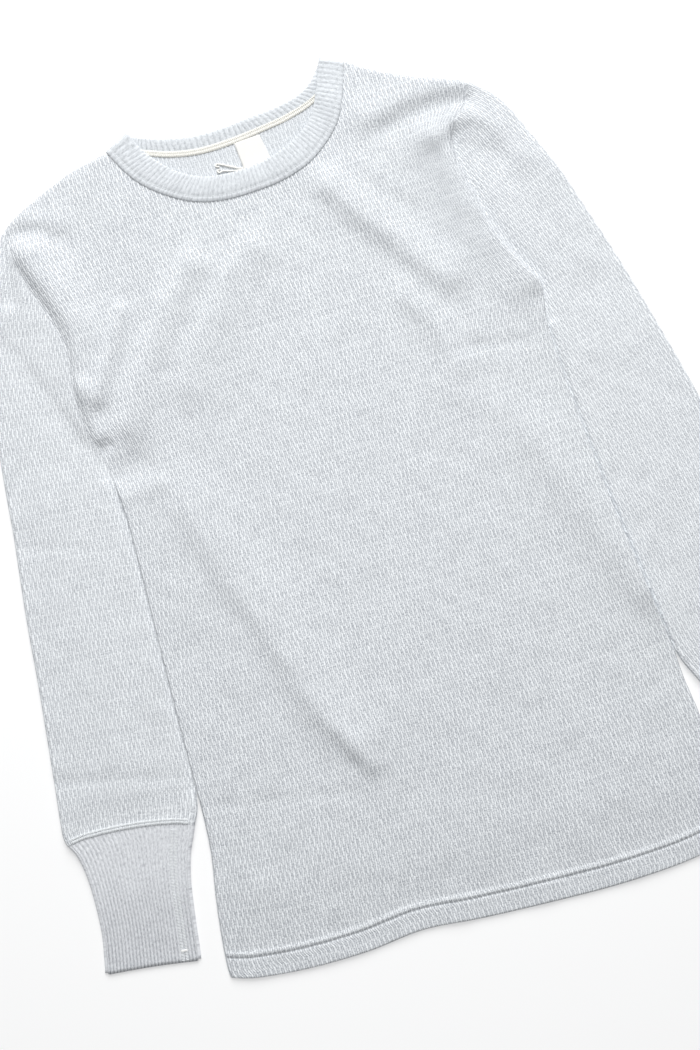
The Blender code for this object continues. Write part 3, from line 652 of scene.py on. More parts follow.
def front_piece():
    """The front's cloth: a grid of wales and bands, raised to its folds and rolled down at its edges."""
    wale = np.concatenate((EDGE_WALES, np.arange(2, 2 * WALES - 1) / 2, WALES - EDGE_WALES[::-1]))
    hem_bands = HEM_ROWS / BAND_DEPTH
    body_bands = (np.arange(BANDS)[:, None] + BAND_ROWS).ravel()
    band = np.concatenate((hem_bands, body_bands[body_bands > hem_bands[-1] + HEM_SPACE], [BANDS]))
    x, y = body_grid(wale, band)
    rows, columns = x.shape

    def read(heights, values):
        """Values of each column's points, read at other heights on it."""
        return np.array([np.interp(heights[..., c], y[:, c], values[:, c]) for c in range(columns)]).T

    # each column ends on the shoulder or the neck seam, with a few close points at its end
    end_y = top_y(x[-1])
    for _ in range(ROUNDS):
        end_y = top_y(read(end_y, x))
    count = (y < end_y - END_SPACE).sum(axis=0)
    tip_y = end_y[None] - END_STEPS[:, None]
    rising = np.broadcast_to(band[:, None], x.shape)
    all_x = np.concatenate((x, read(tip_y, x)))
    all_y = np.concatenate((y, tip_y))
    all_band = np.concatenate((rising, read(tip_y, rising)))
    all_wale = np.broadcast_to(wale[None], all_x.shape)
    index = np.arange(all_x.size).reshape(all_x.shape)
    for column in range(columns):
        index[count[column]:rows, column] = index[rows, column]

    left, right = body_sides(all_y)
    from_side = np.minimum(all_x - left, right - all_x)
    from_top = np.clip(top_y(all_x) - all_y, 0, None)
    from_hem = all_y - hem_y(all_x)
    from_armpit = all_y - by_side(all_x, LEFT_ARMPIT, RIGHT_ARMPIT)
    at_armhole = ease(from_armpit / ARMHOLE_BLEND)
    on_sleeve = over_sleeve(all_x, all_y)
    low = EDGE_LOW + (contact_height(all_x, all_y) - EDGE_LOW) * on_sleeve
    side_roll = np.where(from_armpit > 0, 1 - tip_share(all_x, all_y), 1)
    radius = SIDE_RADIUS - CONTACT_CREASE * on_sleeve
    radius = radius + (by_side(all_x, LEFT_SLOPE, RIGHT_SLOPE) - radius) * at_armhole
    on_neck = ease((NECK_HALF - np.abs(all_x)) / NECK_EASE)
    height = top_height(all_x, all_y, BODY_FOLDS)
    flatten = ease(from_side / LOOP_FADE) * ease(from_top / LOOP_FADE)
    height += LOOP_RISE * loops_of_knit(all_wale, all_band) * flatten
    height -= HEM_FALL * ease(1 - from_hem / HEM_FALL_LENGTH)
    height += HEM_ROLL_RISE * bell(from_hem - HEM_ROLL, HEM_ROLL_WIDTH, 4)
    height -= HEM_GROOVE * bell(from_hem - HEM_DEPTH, HEM_GROOVE_WIDTH)
    edge = roll(from_side, radius) * (1 - at_armhole) + slope_down(from_side, radius) * at_armhole
    z = low + (height - low) * (1 - side_roll * (1 - edge))
    ends = (1 - (1 - on_neck) * (1 - roll(from_top, SIDE_RADIUS))) * roll(from_hem, HEM_RADIUS)
    z = EDGE_LOW + (z - EDGE_LOW) * ends
    inset = SEAM_GAP * np.sign(all_x) * (1 - ease(from_side / GAP_FADE))
    points = np.stack((all_x - inset, all_y, z), -1).reshape(-1, 3)
    faces, places = grid_faces(index, np.stack((all_wale, all_band), -1))
    points, faces = renumber(points, faces)
    return add_piece("front_knit", points, faces, body_knit, places)


front_knit = front_piece()
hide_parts("front")


# ---------------------------------------------------------------------------- back
# The back half of the same seamless tube, in the same tuck rib, lies flat on the table with its hem turned
# up. It is cut higher at the neck, so its wrong side shows inside the neck opening.
BACK_NECK = np.array(((-112, 380), (-84, 373.5), (-61, 365), (-35, 360), (-5, 359.8), (25, 362.8),
                      (50, 366.3), (76, 374.3), (96, 387), (108, 395)), float)
BACK_CLOTH = 1.75
BACK_EDGE = 0.35            # share of the cloth's thickness at its very edge
BACK_RADIUS = 1.5
BACK_INSET = 3.2
HEM_INSET = 0.4
SHOULDER_INSET = 12
BAND_SPLIT = 3              # rows of points in each band where the back shows, from NECK_BAND up
NECK_BAND = 84
PLAIN_SKIP = 9              # one row in this many where it doesn't
inside_knit = knit_material("tuck rib, wrong side", tuck_rib, (0.80, 0.83, 0.86), (0.37, 0.395, 0.425),
                            painted_hollow_shade=0.75, flecks=0.45, bump=0.6)
back_top_line = upper_edge(BACK_NECK, SHOULDER_INSET)
back_top_line = back_top_line[np.argsort(back_top_line[:, 0])]


def rim_faces(upper, lower_offset, places):
    """Upright faces that close the open edges of an upper layer down to the lower one."""
    sides = {(face[k], face[(k + 1) % len(face)]) for face in upper for k in range(len(face))}
    rim = sorted([b, a, a + lower_offset, b + lower_offset] for a, b in sides if (b, a) not in sides)
    return rim, [places.reshape(-1, 2)[corner % lower_offset].tolist() for face in rim for corner in face]


def double_piece(name, points, index, places, finish, turned=False, open_row=None):
    """A piece with an upper and a lower layer, closed along its rim but for one open row of the grid."""
    upper, upper_places = grid_faces(index, places, turned=turned)
    lower, lower_places = grid_faces(index + index.size, places, turned=not turned)
    rim, rim_places = rim_faces(upper, index.size, places)
    left_open = set() if open_row is None else set(index[open_row].tolist())
    kept = [k for k, face in enumerate(rim) if not left_open.issuperset(face[:2])]
    rim_places = [spot for k in kept for spot in rim_places[4 * k:4 * k + 4]]
    points, faces = renumber(points, upper + lower + [rim[k] for k in kept])
    return add_piece(name, points, faces, finish, upper_places + lower_places + rim_places)


def back_piece():
    """The back's cloth: a flat double layer, with its loops on the upper face."""
    wale = np.concatenate((EDGE_WALES[1::2], np.arange(1, WALES), WALES - EDGE_WALES[3::-2]))
    band = np.arange(BAND_SPLIT * BANDS + 1) / BAND_SPLIT
    band = band[(band >= NECK_BAND) | (np.arange(len(band)) % PLAIN_SKIP == 0)]
    x, y = body_grid(wale, band)
    end_y = np.interp(x[-1], back_top_line[:, 0], back_top_line[:, 1])
    index = np.arange(x.size).reshape(x.shape)
    for column in range(x.shape[1]):
        over = np.flatnonzero(y[:, column] > end_y[column])
        x[over[0], column] = np.interp(end_y[column], y[:, column], x[:, column])
        y[over[0], column] = end_y[column]
        index[over, column] = index[over[0], column]
    left, right = body_sides(y)
    middle = (left + right) / 2
    x = middle + (x - middle) * (1 - BACK_INSET / ((right - left) / 2))
    wales = np.broadcast_to(wale[None], x.shape)
    bands = np.broadcast_to(band[:, None], x.shape)
    from_edge = np.minimum(np.minimum(x - left, right - x) - BACK_INSET, y - hem_y(x) + HEM_INSET)
    edge = roll(np.maximum(from_edge, 0), BACK_RADIUS)
    top = BACK_CLOTH * np.clip(BACK_EDGE + (1 - BACK_EDGE) * edge, 0, 1)
    top = top + LOOP_RISE * loops_of_knit(wales, bands) * ease(from_edge / LOOP_FADE)
    upper = np.stack((x, y, top), -1).reshape(-1, 3)
    points = np.concatenate((upper, upper * (1, 1, 0)))
    return double_piece("back_knit", points, index, np.stack((wales, bands), -1), inside_knit)


back_knit = back_piece()
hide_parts("back")


# ---------------------------------------------------------------------------- sleeves
# Each sleeve is a tube of the same knit, seamed along the underarm. Its upper end is set in behind the
# body's fold, so its loops run out from under that fold and on along the outer edge.
SLEEVE_WALES = 64
SLEEVE_BAND = 7.5
TIP_ROW = 4                 # the loops' direction is steady down to this row
TUCK = 1.0                  # how far the sleeve runs on under the body's side
TUBE_RADIUS = 3.0
SLEEVE_STEPS, SLEEVE_SEAM_STEPS = 1500, 500
EDGE_LOOPS = 1.6            # loops on each turned edge
ARMHOLE_SINK = 8.0          # width over which the sleeve comes to the body's height, above the armpit
LEFT_SINK, RIGHT_SINK = 5.0, 2.2        # the same below it
UNDER_BODY = 0.15
CAP_ANGLES = (0, 28, 55, 78)            # round a turned edge, in degrees; the flat cloth is at 90
CAP_END = 1.5               # radians
SEAM_BOW = 6.0              # the cuff's seam bows up towards the sleeve, over this length of the sleeve
SEAM_BOW_LENGTH = 60
SEAM_ARCH = (0, 0.62, 0.88, 1, 1, 0.88, 0.62, 0)
CUFF_TOP = 4.7
SEAM_TOP = 5.4              # height of the sleeve's end, a soft roll with a groove at the seam
SEAM_FALL = 25
SEAM_ROLL, SEAM_ROLL_RISE, SEAM_ROLL_WIDTH = 2.6, 0.4, 2.2
SEAM_GROOVE, SEAM_GROOVE_WIDTH = 0.1, 0.6
FLAT_END, FLAT_EASE = 5, 7              # no loops this near the seam, and they grow over the next stretch
CUFF_SEAM_ROWS = np.array((6.5, 5.4, 4.6, 3.9, 3.2, 2.5, 1.9, 1.4, 0.9, 0.5, 0.2, 0))
sleeve_knit = knit_material("heather tuck rib, sleeves", tuck_rib, LIGHT_YARN, DARK_YARN,
                            painted_hollow_shade=0.9, flecks=0.45, bump=0.7)


def seam_arch(share):
    """Bow of the cuff's seam at that share of its width, 1 in the middle."""
    return np.interp(share, np.linspace(0, 1, len(SEAM_ARCH)), SEAM_ARCH)


def sleeve_piece(name, table_rows, side):
    """A sleeve, a flat tube from the armhole seam to the cuff. Side is -1 at the left and 1 at the right."""
    outer, inner = table_rows[:, 2:], table_rows[:, :2]
    direction = unit(np.gradient(outer, axis=0))
    inward = np.stack((direction[:, 1], -direction[:, 0]), -1) * side
    inward[:TIP_ROW] = inward[TIP_ROW]
    width = np.linalg.norm(outer[PART_ROW] - inner[PART_ROW])
    # above the place where it parts from the body, the sleeve's inner side lies under the body
    virtual = np.where(np.arange(len(outer))[:, None] < PART_ROW, outer + inward * width, inner)
    frame_rows = np.column_stack((outer, virtual))
    fine_rows = np.linspace(0, len(outer) - 1, SLEEVE_STEPS)
    fine = along(frame_rows, fine_rows)
    length = length_along(fine)
    last_band = length[-1] / SLEEVE_BAND
    bands = (np.arange(int(last_band))[:, None] + BAND_ROWS).ravel()
    bands = np.concatenate(([0], bands[bands < last_band - 1], last_band - CUFF_SEAM_ROWS / SLEEVE_BAND))
    row_places = np.interp(bands * SLEEVE_BAND, length, fine_rows)

    # columns round the upper face: the turned outer edge, the loops, and the turned inner edge
    caps = np.radians(CAP_ANGLES)
    wale = np.arange(4, 2 * SLEEVE_WALES - 3) / 2
    share = np.concatenate((np.zeros(len(caps)), wale / SLEEVE_WALES, np.ones(len(caps))))
    angle = np.concatenate((caps, np.full(len(wale), math.pi / 2), caps[::-1]))
    edge_wales = np.linspace(0, EDGE_LOOPS, len(caps))
    wale = np.concatenate((edge_wales, wale, SLEEVE_WALES - edge_wales[::-1]))
    towards_middle = np.where(angle < CAP_END, 1 - 2 * share, 0)
    seam = along(inner, np.linspace(0, PART_ROW, SLEEVE_SEAM_STEPS))
    seam_order = np.argsort(seam[:, 1])

    def seam_x(y):
        return np.interp(y, seam[seam_order, 1], seam[seam_order, 0])

    def plan(places):
        edges = along(frame_rows, places)
        spread = edges[..., 2:] - edges[..., :2]
        turn = TUBE_RADIUS * ((1 - np.cos(angle)) * towards_middle)[:, None]
        return edges[..., :2] + spread * share[:, None] + unit(spread) * turn

    # each row of points ends where it meets the armhole seam
    places = np.repeat(row_places[:, None], len(share), axis=1)
    spots = plan(places)
    past = (spots[..., 0] - seam_x(spots[..., 1])) * side - SEAM_GAP
    past += TUCK * (1 - tip_share(spots[..., 0], spots[..., 1]))
    wale = np.tile(wale, (len(bands), 1))
    angle = np.tile(angle, (len(bands), 1))
    index = np.arange(places.size).reshape(places.shape)
    for row in np.flatnonzero(row_places < PART_ROW):
        hidden = np.flatnonzero(past[row] < 0)
        if not len(hidden) or not hidden[0]:
            continue
        last = hidden[0]
        part = past[row, last - 1] / (past[row, last - 1] - past[row, last])
        for values in (spots, wale, angle):
            values[row, last] = values[row, last - 1] + part * (values[row, last] - values[row, last - 1])
        index[row, last + 1:] = index[row, last]
    along_tube = np.interp(places, fine_rows, length)

    x, y = spots[..., 0], spots[..., 1]
    from_cuff = length[-1] - along_tube
    down = direction[-1]
    bow = SEAM_BOW * seam_arch(share) * ease(1 - from_cuff / SEAM_BOW_LENGTH)
    upper_x, upper_y = x - down[0] * bow, y - down[1] * bow
    from_seam = np.where(places < PART_ROW, np.maximum((x - seam_x(y)) * side, 0), np.inf)
    sink = np.where(places < ARMPIT_ROW, ARMHOLE_SINK, LEFT_SINK if side < 0 else RIGHT_SINK)
    by_seam = bell(from_seam, sink)
    at_tip = tip_share(x, y)
    top = top_height(upper_x, upper_y, SLEEVE_FOLDS)
    top = top + (top_height(upper_x, upper_y, BODY_FOLDS) - top) * at_tip * by_seam
    loops = loops_of_knit(wale, along_tube / SLEEVE_BAND) * np.sin(angle) ** 2
    top = top + LOOP_RISE * loops * ease((from_cuff - FLAT_END) / FLAT_EASE)
    top = top - (top - contact_height(x, y) + UNDER_BODY) * (1 - at_tip) * by_seam
    top = top + (SEAM_TOP - top) * ease(1 - from_cuff / SEAM_FALL)
    top = top + SEAM_ROLL_RISE * bell(from_cuff - SEAM_ROLL, SEAM_ROLL_WIDTH, 4)
    top = top - SEAM_GROOVE * bell(from_cuff, SEAM_GROOVE_WIDTH)
    middle = top / 2
    upper = np.stack((upper_x, upper_y, middle + (top - middle) * np.sin(angle)), -1)
    lower = np.stack((x, y, middle * (1 - np.sin(angle))), -1)
    points = np.concatenate((upper.reshape(-1, 3), lower.reshape(-1, 3)))
    knit_places = np.stack((wale * side, along_tube / SLEEVE_BAND), -1)
    return double_piece(name, points, index, knit_places, sleeve_knit, turned=side < 0, open_row=-1)


for name, table_rows, side in (("sleeve_left", SLEEVE_LEFT, -1), ("sleeve_right", SLEEVE_RIGHT, 1)):
    sleeve = sleeve_piece(name + "_knit", table_rows, side)
    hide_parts(name)


# ---------------------------------------------------------------------------- cuffs
# Each cuff is a tube of rib knit in the same yarn, with one flat seam up its inner side. It is pulled in
# from the sleeve's width, and its upper edge is cover stitched to the sleeve's end.
# Columns: way down from the seam, inner edge and outer edge, both across from the middle
CUFF = np.array((
    (0, -54, 54), (9, -51.5, 48), (24, -47, 43), (46, -44, 39.3), (75, -43, 37), (100, -42.8, 38.2),
    (111, -42.6, 39)), float)
CUFF_LENGTH = CUFF[-1, 0]
CUFF_FIT = 40               # the cuff takes the sleeve's own width over this length
CUFF_ROWS = 34
TURNED_IN = ((1, 0.35), (1, 1), (0.9, 1))   # last rows: share of the length, share of the wall turned in
CUFF_SLANT, SLANT_POWER = 0.7, 4
CUFF_END_BOW = 1.1          # the end draws up a little between its corners
CUFF_CORNER = 1.8           # and its corners are rounded
CORNER_SHARE = 0.03
END_POWER = 6
CUFF_END_DROP = 2.9         # the cuff lies lower towards its end, from this far down
CUFF_DROP_START = 35
CUFF_SEAM_RISE, CUFF_SEAM_RISE_WIDTH = 0.5, 14
CUFF_BOW_LENGTH = 30
CUFF_RIBS = 28
CUFF_STEPS = 6
CUFF_WALL = 1.0
CUFF_SEAM = 0.835           # share of the cuff's width at which its own seam runs
CUFF_SEAM_WIDE = 3.3
RIB_RISE = 0.3
RIB_GROWTH = (0.15, 1.05)   # height of the ribs at the seam, and what it gains towards the end
RIB_FADE = (0.3, 2)         # at the very end, and the length over which they grow to it
RIB_POWER, RIB_HOLLOW = 1.5, 2
CUFF_COURSE = 3.6           # length of the knit's own pattern along the cuff
# Rib cloth: narrow light ribs whose hollows open towards the cuff's end, with painted shade in the hollows
# that grows deeper there.
RIB_HOLLOW_EDGE, RIB_HOLLOW_PAINTED_SHADE, RIB_BASE_SHADE = 0.1, 0.9, 0.15
RIB_OPENING = (0.33, 0.035)     # depth of the hollows' shade at the seam, and its growth along the cuff
RIB_FLECK_SHADE, RIB_PATCH_SHADE = 4.6, 0.35


def rib_pattern():
    """The rib's colour, with painted shade in its hollows, and fine height."""
    knit = ClothPattern("rib knit")
    ribs = knit.math("COSINE", knit.times(knit.wale, 2 * math.pi))
    fibres = knit.noise(across=3.2, upwards=1.3, detail=5, roughness=0.75)
    patches = knit.noise(across=0.22, upwards=0.3, detail=3, roughness=0.5)
    # painted shade in the hollows between the ribs
    hollow = knit.math("MULTIPLY", knit.math("SUBTRACT", RIB_HOLLOW_EDGE, ribs), RIB_HOLLOW_PAINTED_SHADE, clamp=True)
    opening = knit.total(knit.times(knit.band, RIB_OPENING[1]), RIB_OPENING[0])
    hollow = knit.times(knit.times(hollow, knit.given["Painted Hollow Shade"]), opening)
    fleck = knit.times(knit.centred(fibres, knit.given["Flecks"]), RIB_FLECK_SHADE)
    return knit.give(knit.total(hollow, fleck, knit.centred(patches, RIB_PATCH_SHADE), RIB_BASE_SHADE),
                     knit.total(knit.times(ribs, 0.5), fibres))


rib_knit = rib_pattern()
cuff_rib = knit_material("heather rib, cuffs", rib_knit, (0.785, 0.805, 0.835), (0.30, 0.315, 0.345),
                         painted_hollow_shade=0.36, flecks=0.62, bump=0.6)
cuff_lines = {}             # plan of each cuff's two seams, for the sewing


def rib_profile(phase):
    """Rounded ribs with narrow hollows between them."""
    return 1 - (1 - np.abs(np.cos(np.pi * phase))) ** RIB_POWER * RIB_HOLLOW


def cuff_piece(name, table_rows, side):
    """A cuff: a flat ribbed tube on the sleeve's end, with its wall turned in at the open end."""
    inner, outer = table_rows[-1, :2], table_rows[-1, 2:]
    across = unit(outer - inner)
    down = np.array((across[1], -across[0]))
    down = down if down[1] < 0 else -down
    middle = (inner + outer) / 2
    half_seam = np.linalg.norm(outer - inner) / 2
    turned_shares, turned_walls = np.array(TURNED_IN).T
    drops = np.concatenate((np.linspace(0, 1, CUFF_ROWS), turned_shares))
    outline = np.column_stack((CUFF[:, 0], CUFF[:, 0] * 0, CUFF))
    drop, inner_way, outer_way = along_length(outline, drops)[:, 2:].T
    inset = np.concatenate((np.zeros(CUFF_ROWS), turned_walls))[:, None] * CUFF_WALL
    fit = 1 + (half_seam / CUFF[0, 2] - 1) * np.clip(1 - drop / CUFF_FIT, 0, 1)
    slant = CUFF_SLANT * (drop / CUFF_LENGTH) ** SLANT_POWER
    base = middle + down * SEAM_GAP
    inner_edge = base + down * (drop + slant)[:, None] + across * (inner_way * fit)[:, None]
    outer_edge = base + down * (drop - slant)[:, None] + across * (outer_way * fit)[:, None]
    drop = drop[:, None]

    steps = CUFF_RIBS * CUFF_STEPS
    shares = np.arange(1, steps) / steps
    shares = shares[(shares > CORNER_SHARE) & (shares < 1 - CORNER_SHARE)]
    caps = np.radians(CAP_ANGLES)
    over = [(0, angle, 1, 0) for angle in caps] + [(s, math.pi / 2, 1, s * CUFF_RIBS) for s in shares]
    over += [(1, angle, 1, CUFF_RIBS) for angle in caps[::-1]]
    under = [(s, angle, -1, 2 * CUFF_RIBS - rib) for s, angle, _, rib in over[::-1]]
    share, angle, layer, rib = np.array(over + under).T
    spread = inner_edge - outer_edge
    wide = np.linalg.norm(spread, axis=1)[:, None]
    towards = unit(spread)[:, None]
    inward_sign = np.where(angle < CAP_END, 1 - 2 * share, 0)
    radius = TUBE_RADIUS - inset / 2
    distance = share * wide + (radius * (1 - np.cos(angle)) + inset / 2) * inward_sign
    plan = outer_edge[:, None] + towards * distance[..., None]
    bow = SEAM_BOW * (seam_arch(share) * (layer > 0))[None] * np.clip(1 - drop / CUFF_BOW_LENGTH, 0, 1)
    corner = bell(share, CORNER_SHARE) + bell(1 - share, CORNER_SHARE)
    end_shape = CUFF_END_BOW * np.sin(math.pi * share) + CUFF_CORNER * corner
    bow = bow + end_shape[None] * (drop / CUFF_LENGTH) ** END_POWER
    plan = plan - down * bow[..., None]
    growth = RIB_GROWTH[0] + RIB_GROWTH[1] * drop / CUFF_LENGTH
    ribs = RIB_RISE * rib_profile(rib) * np.sin(angle) ** 2 * growth
    by_seam = np.abs(share - CUFF_SEAM) * wide - CUFF_SEAM_WIDE
    ribs = ribs * ease((CUFF_LENGTH - drop) / RIB_FADE[1] + RIB_FADE[0]) * (inset == 0)
    ribs = ribs * np.where(layer > 0, ease(by_seam), 1)
    lowered = CUFF_END_DROP * ease((drop - CUFF_DROP_START) / (CUFF_LENGTH - CUFF_DROP_START))
    top = CUFF_TOP + CUFF_SEAM_RISE * bell(drop, CUFF_SEAM_RISE_WIDTH) - lowered
    middle_z = top / 2
    upper = middle_z + (top - middle_z - inset) * np.sin(angle) + ribs
    lower = middle_z - (middle_z - inset) * np.sin(angle)
    z = np.where(layer > 0, upper, lower)
    index = np.arange(z.size).reshape(z.shape)
    ring = np.concatenate((index, index[:, :1]), axis=1)
    places = np.stack((np.broadcast_to(rib, z.shape), np.broadcast_to(drop / CUFF_COURSE, z.shape)), -1)
    places = np.concatenate((places, places[:, :1] + (2 * CUFF_RIBS, 0)), axis=1)
    faces, corner_places = grid_faces(ring, places, turned=side < 0)
    own_seam = (outer_edge + spread * CUFF_SEAM)[:CUFF_ROWS]
    cuff_lines[name] = (plan[0, (layer > 0) & (angle > CAP_END)], own_seam, down)
    return add_piece(name, np.dstack((plan, z)).reshape(-1, 3), faces, cuff_rib, corner_places)


for name, table_rows, side in (("cuff_left", SLEEVE_LEFT, -1), ("cuff_right", SLEEVE_RIGHT, 1)):
    cuff = cuff_piece(name + "_rib", table_rows, side)
    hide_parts(name)


# ---------------------------------------------------------------------------- neckband
# A doubled band of rib knit sewn round the neck and top stitched. It folds over at both shoulders: its
# front half lies on the front, and its back half lies on the table with its inner face up.
# Columns: sewn edge's x and y, free edge's x and y
BAND_FRONT = np.array((
    (-114.5, 382.5, -91.5, 393.5), (-110, 372, -85, 378), (-98, 351, -74, 362), (-79, 332.5, -59, 347),
    (-55, 317.5, -41, 337), (-28, 310.5, -21, 333), (0, 309.5, 1, 332.5), (28, 312, 22, 335.5),
    (52, 319, 42, 342), (72, 331.5, 58, 351), (89, 348, 70, 363), (101, 370, 79.5, 381),
    (111, 397, 90.5, 407)), float)
BAND_BACK = np.array((
    (-114.5, 382.5, -91.5, 393.5), (-84, 373, -80, 388.5), (-61, 364.5, -61, 381.5),
    (-35, 359.5, -35, 376.5), (-5, 359.5, -6, 376), (25, 362.5, 17, 378), (50, 366, 41, 379.5),
    (76, 374, 63, 384), (96, 387, 78, 393), (111, 397, 90.5, 407)), float)
FRONT_RIBS = 66
BACK_RIBS = 45
RIB_STEPS = 6
BAND_CLOTH = 2.3
BAND_ACROSS = np.array((0, 0.03, 0.09, 0.15, 0.19, 0.23, 0.32, 0.5, 0.7, 0.84, 0.93, 0.98, 1))
BAND_ROUND = 0.14           # share of the width over which the free edge rounds down
BAND_SQUASH = 0.5           # how far that edge's lower face comes up to meet it
# share of the thickness at the seam, its gain beside it, and its gain past the stitching
BAND_SWELL = (0.2, 0.45, 0.3)
BAND_SWELL_WIDTHS = (0.08, 0.25)
TOP_STITCH = 0.19           # share of the width at which the top stitch runs, in a groove
STITCH_EASE = 0.05
STITCH_GROOVE, STITCH_GROOVE_WIDTH = 0.3, 0.035
STITCHED_RIBS = 0.5
BAND_LIFT = 0.2             # of the front half over the front
BAND_ARCH, ARCH_START = 4.6, 0.35       # its free edge stands a little clear in the middle of the neck
BACK_BAND = (1.75, 0.5)     # thickness of the back half at the seam, and its gain towards the free edge
BACK_SWELL_START, BACK_SWELL_WIDTH = 0.3, 0.4
BAND_RIB_RISE = 0.07
BACK_RIB_GAIN = 1.3
# share of the width at which the ribs start, over how much they grow, and over how much they end
FRONT_RIB_ENDS = (0.02, 0.06, 0.05)
BACK_RIB_ENDS = (0.2, 0.15, 0.06)
BAND_FOLD = 3.7             # reach of the band's folds at the shoulders
FOLD_TURNS = np.radians((15, 35, 55, 75, 90, 105, 125, 145, 165))
RIGHT_FOLD, LEFT_FOLD = (10.0, 21.0), (-11.0, 23.0)     # directions in which they point
FOLD_RIBS = 2
BAND_COURSES = 5            # repeats of the knit's own pattern across the band
band_rib = knit_material("heather rib, neckband", rib_knit, (0.725, 0.755, 0.785), (0.31, 0.33, 0.355),
                         painted_hollow_shade=0.5, flecks=0.55, bump=0.3)


def band_layers(table_rows, ribs, front):
    """Upper and lower face of one half of the band, at each place along it and across it."""
    count = ribs * RIB_STEPS + 1
    rib = np.linspace(0, ribs, count)
    edges = along_length(table_rows, np.linspace(0, 1, count))
    sewn, free = edges[:, None, :2], edges[:, None, 2:]
    w = BAND_ACROSS[None, :, None]
    plan = sewn + (free - sewn) * w
    w = w[..., 0]
    puff = roll(1 - w, BAND_ROUND) * (
        BAND_SWELL[0] + BAND_SWELL[1] * ease(w / BAND_SWELL_WIDTHS[0])
        + BAND_SWELL[2] * ease((w - TOP_STITCH + STITCH_EASE) / BAND_SWELL_WIDTHS[1]))
    ribs_start, ribs_grow, ribs_end = FRONT_RIB_ENDS if front else BACK_RIB_ENDS
    rise = ease((w - ribs_start) / ribs_grow) * ease((1 - w) / ribs_end)
    rise = rise * BAND_RIB_RISE * rib_profile(rib)[:, None]
    if front:
        seat = top_height(edges[:, 0], edges[:, 1], BODY_FOLDS)[:, None] + BAND_LIFT
        arch = np.sin(np.pi * np.linspace(0, 1, count))[:, None]
        bottom = seat + (BAND_ARCH - seat) * arch * np.clip((w - ARCH_START) / (1 - ARCH_START), 0, 1)
        thick = BAND_CLOTH * puff - STITCH_GROOVE * bell(w - TOP_STITCH, STITCH_GROOVE_WIDTH)
        rise = rise * np.where(w < TOP_STITCH + STITCH_EASE, STITCHED_RIBS, 1)
    else:
        bottom = np.zeros((count, len(BAND_ACROSS)))
        thick = (BACK_BAND[0] + BACK_BAND[1] * ease((w - BACK_SWELL_START) / BACK_SWELL_WIDTH)) * puff
        rise = rise * BACK_RIB_GAIN
    squash = BAND_SQUASH * BAND_CLOTH * (1 - puff) * (w > 0.5)
    top = bottom + squash + thick + rise
    return np.dstack((plan, top)), np.dstack((plan, bottom + squash)), rib


def band_fold(start, end, outwards):
    """Sections of the band where it folds over at a shoulder, from one half's end to the other's."""
    reach = np.where(np.arange(len(start)) < len(BAND_ACROSS), BAND_FOLD, BAND_FOLD - BAND_CLOTH)
    sections = start + (end - start) * (1 - np.cos(FOLD_TURNS[:, None, None])) / 2
    sections[..., :2] += unit(np.array(outwards)) * (reach * np.sin(FOLD_TURNS[:, None]))[..., None]
    return sections


def neckband_piece():
    """The neckband: one closed ring of the front half, a fold, the back half and a fold."""
    top, bottom, rib_front = band_layers(BAND_FRONT, FRONT_RIBS, True)
    front = np.concatenate((top, bottom[:, ::-1]), axis=1)
    top, bottom, rib_back = band_layers(BAND_BACK, BACK_RIBS, False)
    back = np.concatenate((bottom, top[:, ::-1]), axis=1)[::-1]
    right = band_fold(front[-1], back[0], RIGHT_FOLD)
    left = band_fold(front[0], back[-1], LEFT_FOLD)[::-1]
    sections = np.concatenate((front, right, back, left))
    count, size = sections.shape[:2]
    rib_fold = np.linspace(0.1, FOLD_RIBS - 0.1, len(FOLD_TURNS))
    back_start = FRONT_RIBS + FOLD_RIBS
    rib = np.concatenate((rib_front, FRONT_RIBS + rib_fold, back_start + rib_back,
                          back_start + BACK_RIBS + rib_fold, [back_start + BACK_RIBS + FOLD_RIBS]))
    width = np.concatenate((BAND_ACROSS, 2 - BAND_ACROSS[::-1], [2])) * BAND_COURSES
    places = np.stack((np.broadcast_to(rib[:, None], (count + 1, size + 1)),
                       np.broadcast_to(width[None], (count + 1, size + 1))), -1)
    index = np.arange(count * size).reshape(count, size)
    index = np.concatenate((index, index[:, :1]), axis=1)
    index = np.concatenate((index, index[:1]))
    faces, corner_places = grid_faces(index, places, turned=True)
    return add_piece("neckband_rib", sections.reshape(-1, 3), faces, band_rib, corner_places)


neckband = neckband_piece()
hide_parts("neckband")


# ---------------------------------------------------------------------------- neck tape
# A narrow off-white herringbone tape of woven cotton, chain stitched flat over the back neck seam so that
# the seam doesn't rub. It runs from one shoulder to the other.
TAPE_LOW, TAPE_HIGH = -1.3, 4.8         # its edges, from the band's seam
TAPE_ENDS = (0.075, 0.905)  # shares of the back half of the band between which it runs
TAPE_STEPS = 260
TAPE_CLOTH = 0.5
TAPE_Z, TAPE_CROWN = 2.25, 0.45
TAPE_WEAVE, TAPE_PITCH, TAPE_CHEVRON = 0.12, 2.1, 9     # relief of its herringbone
TAPE_GRAIN = 0.8
# painted shade: the weave's hollows are coloured this much darker
WEAVE_HOLLOW_PAINTED_SHADE = 0.88         # brightness of the weave's hollows
WEAVE_HEIGHT = 0.0003       # metres
WEAVE_DETAIL = 3
COTTON_SPECULAR, COTTON_SHEEN = 0.2, 0.1


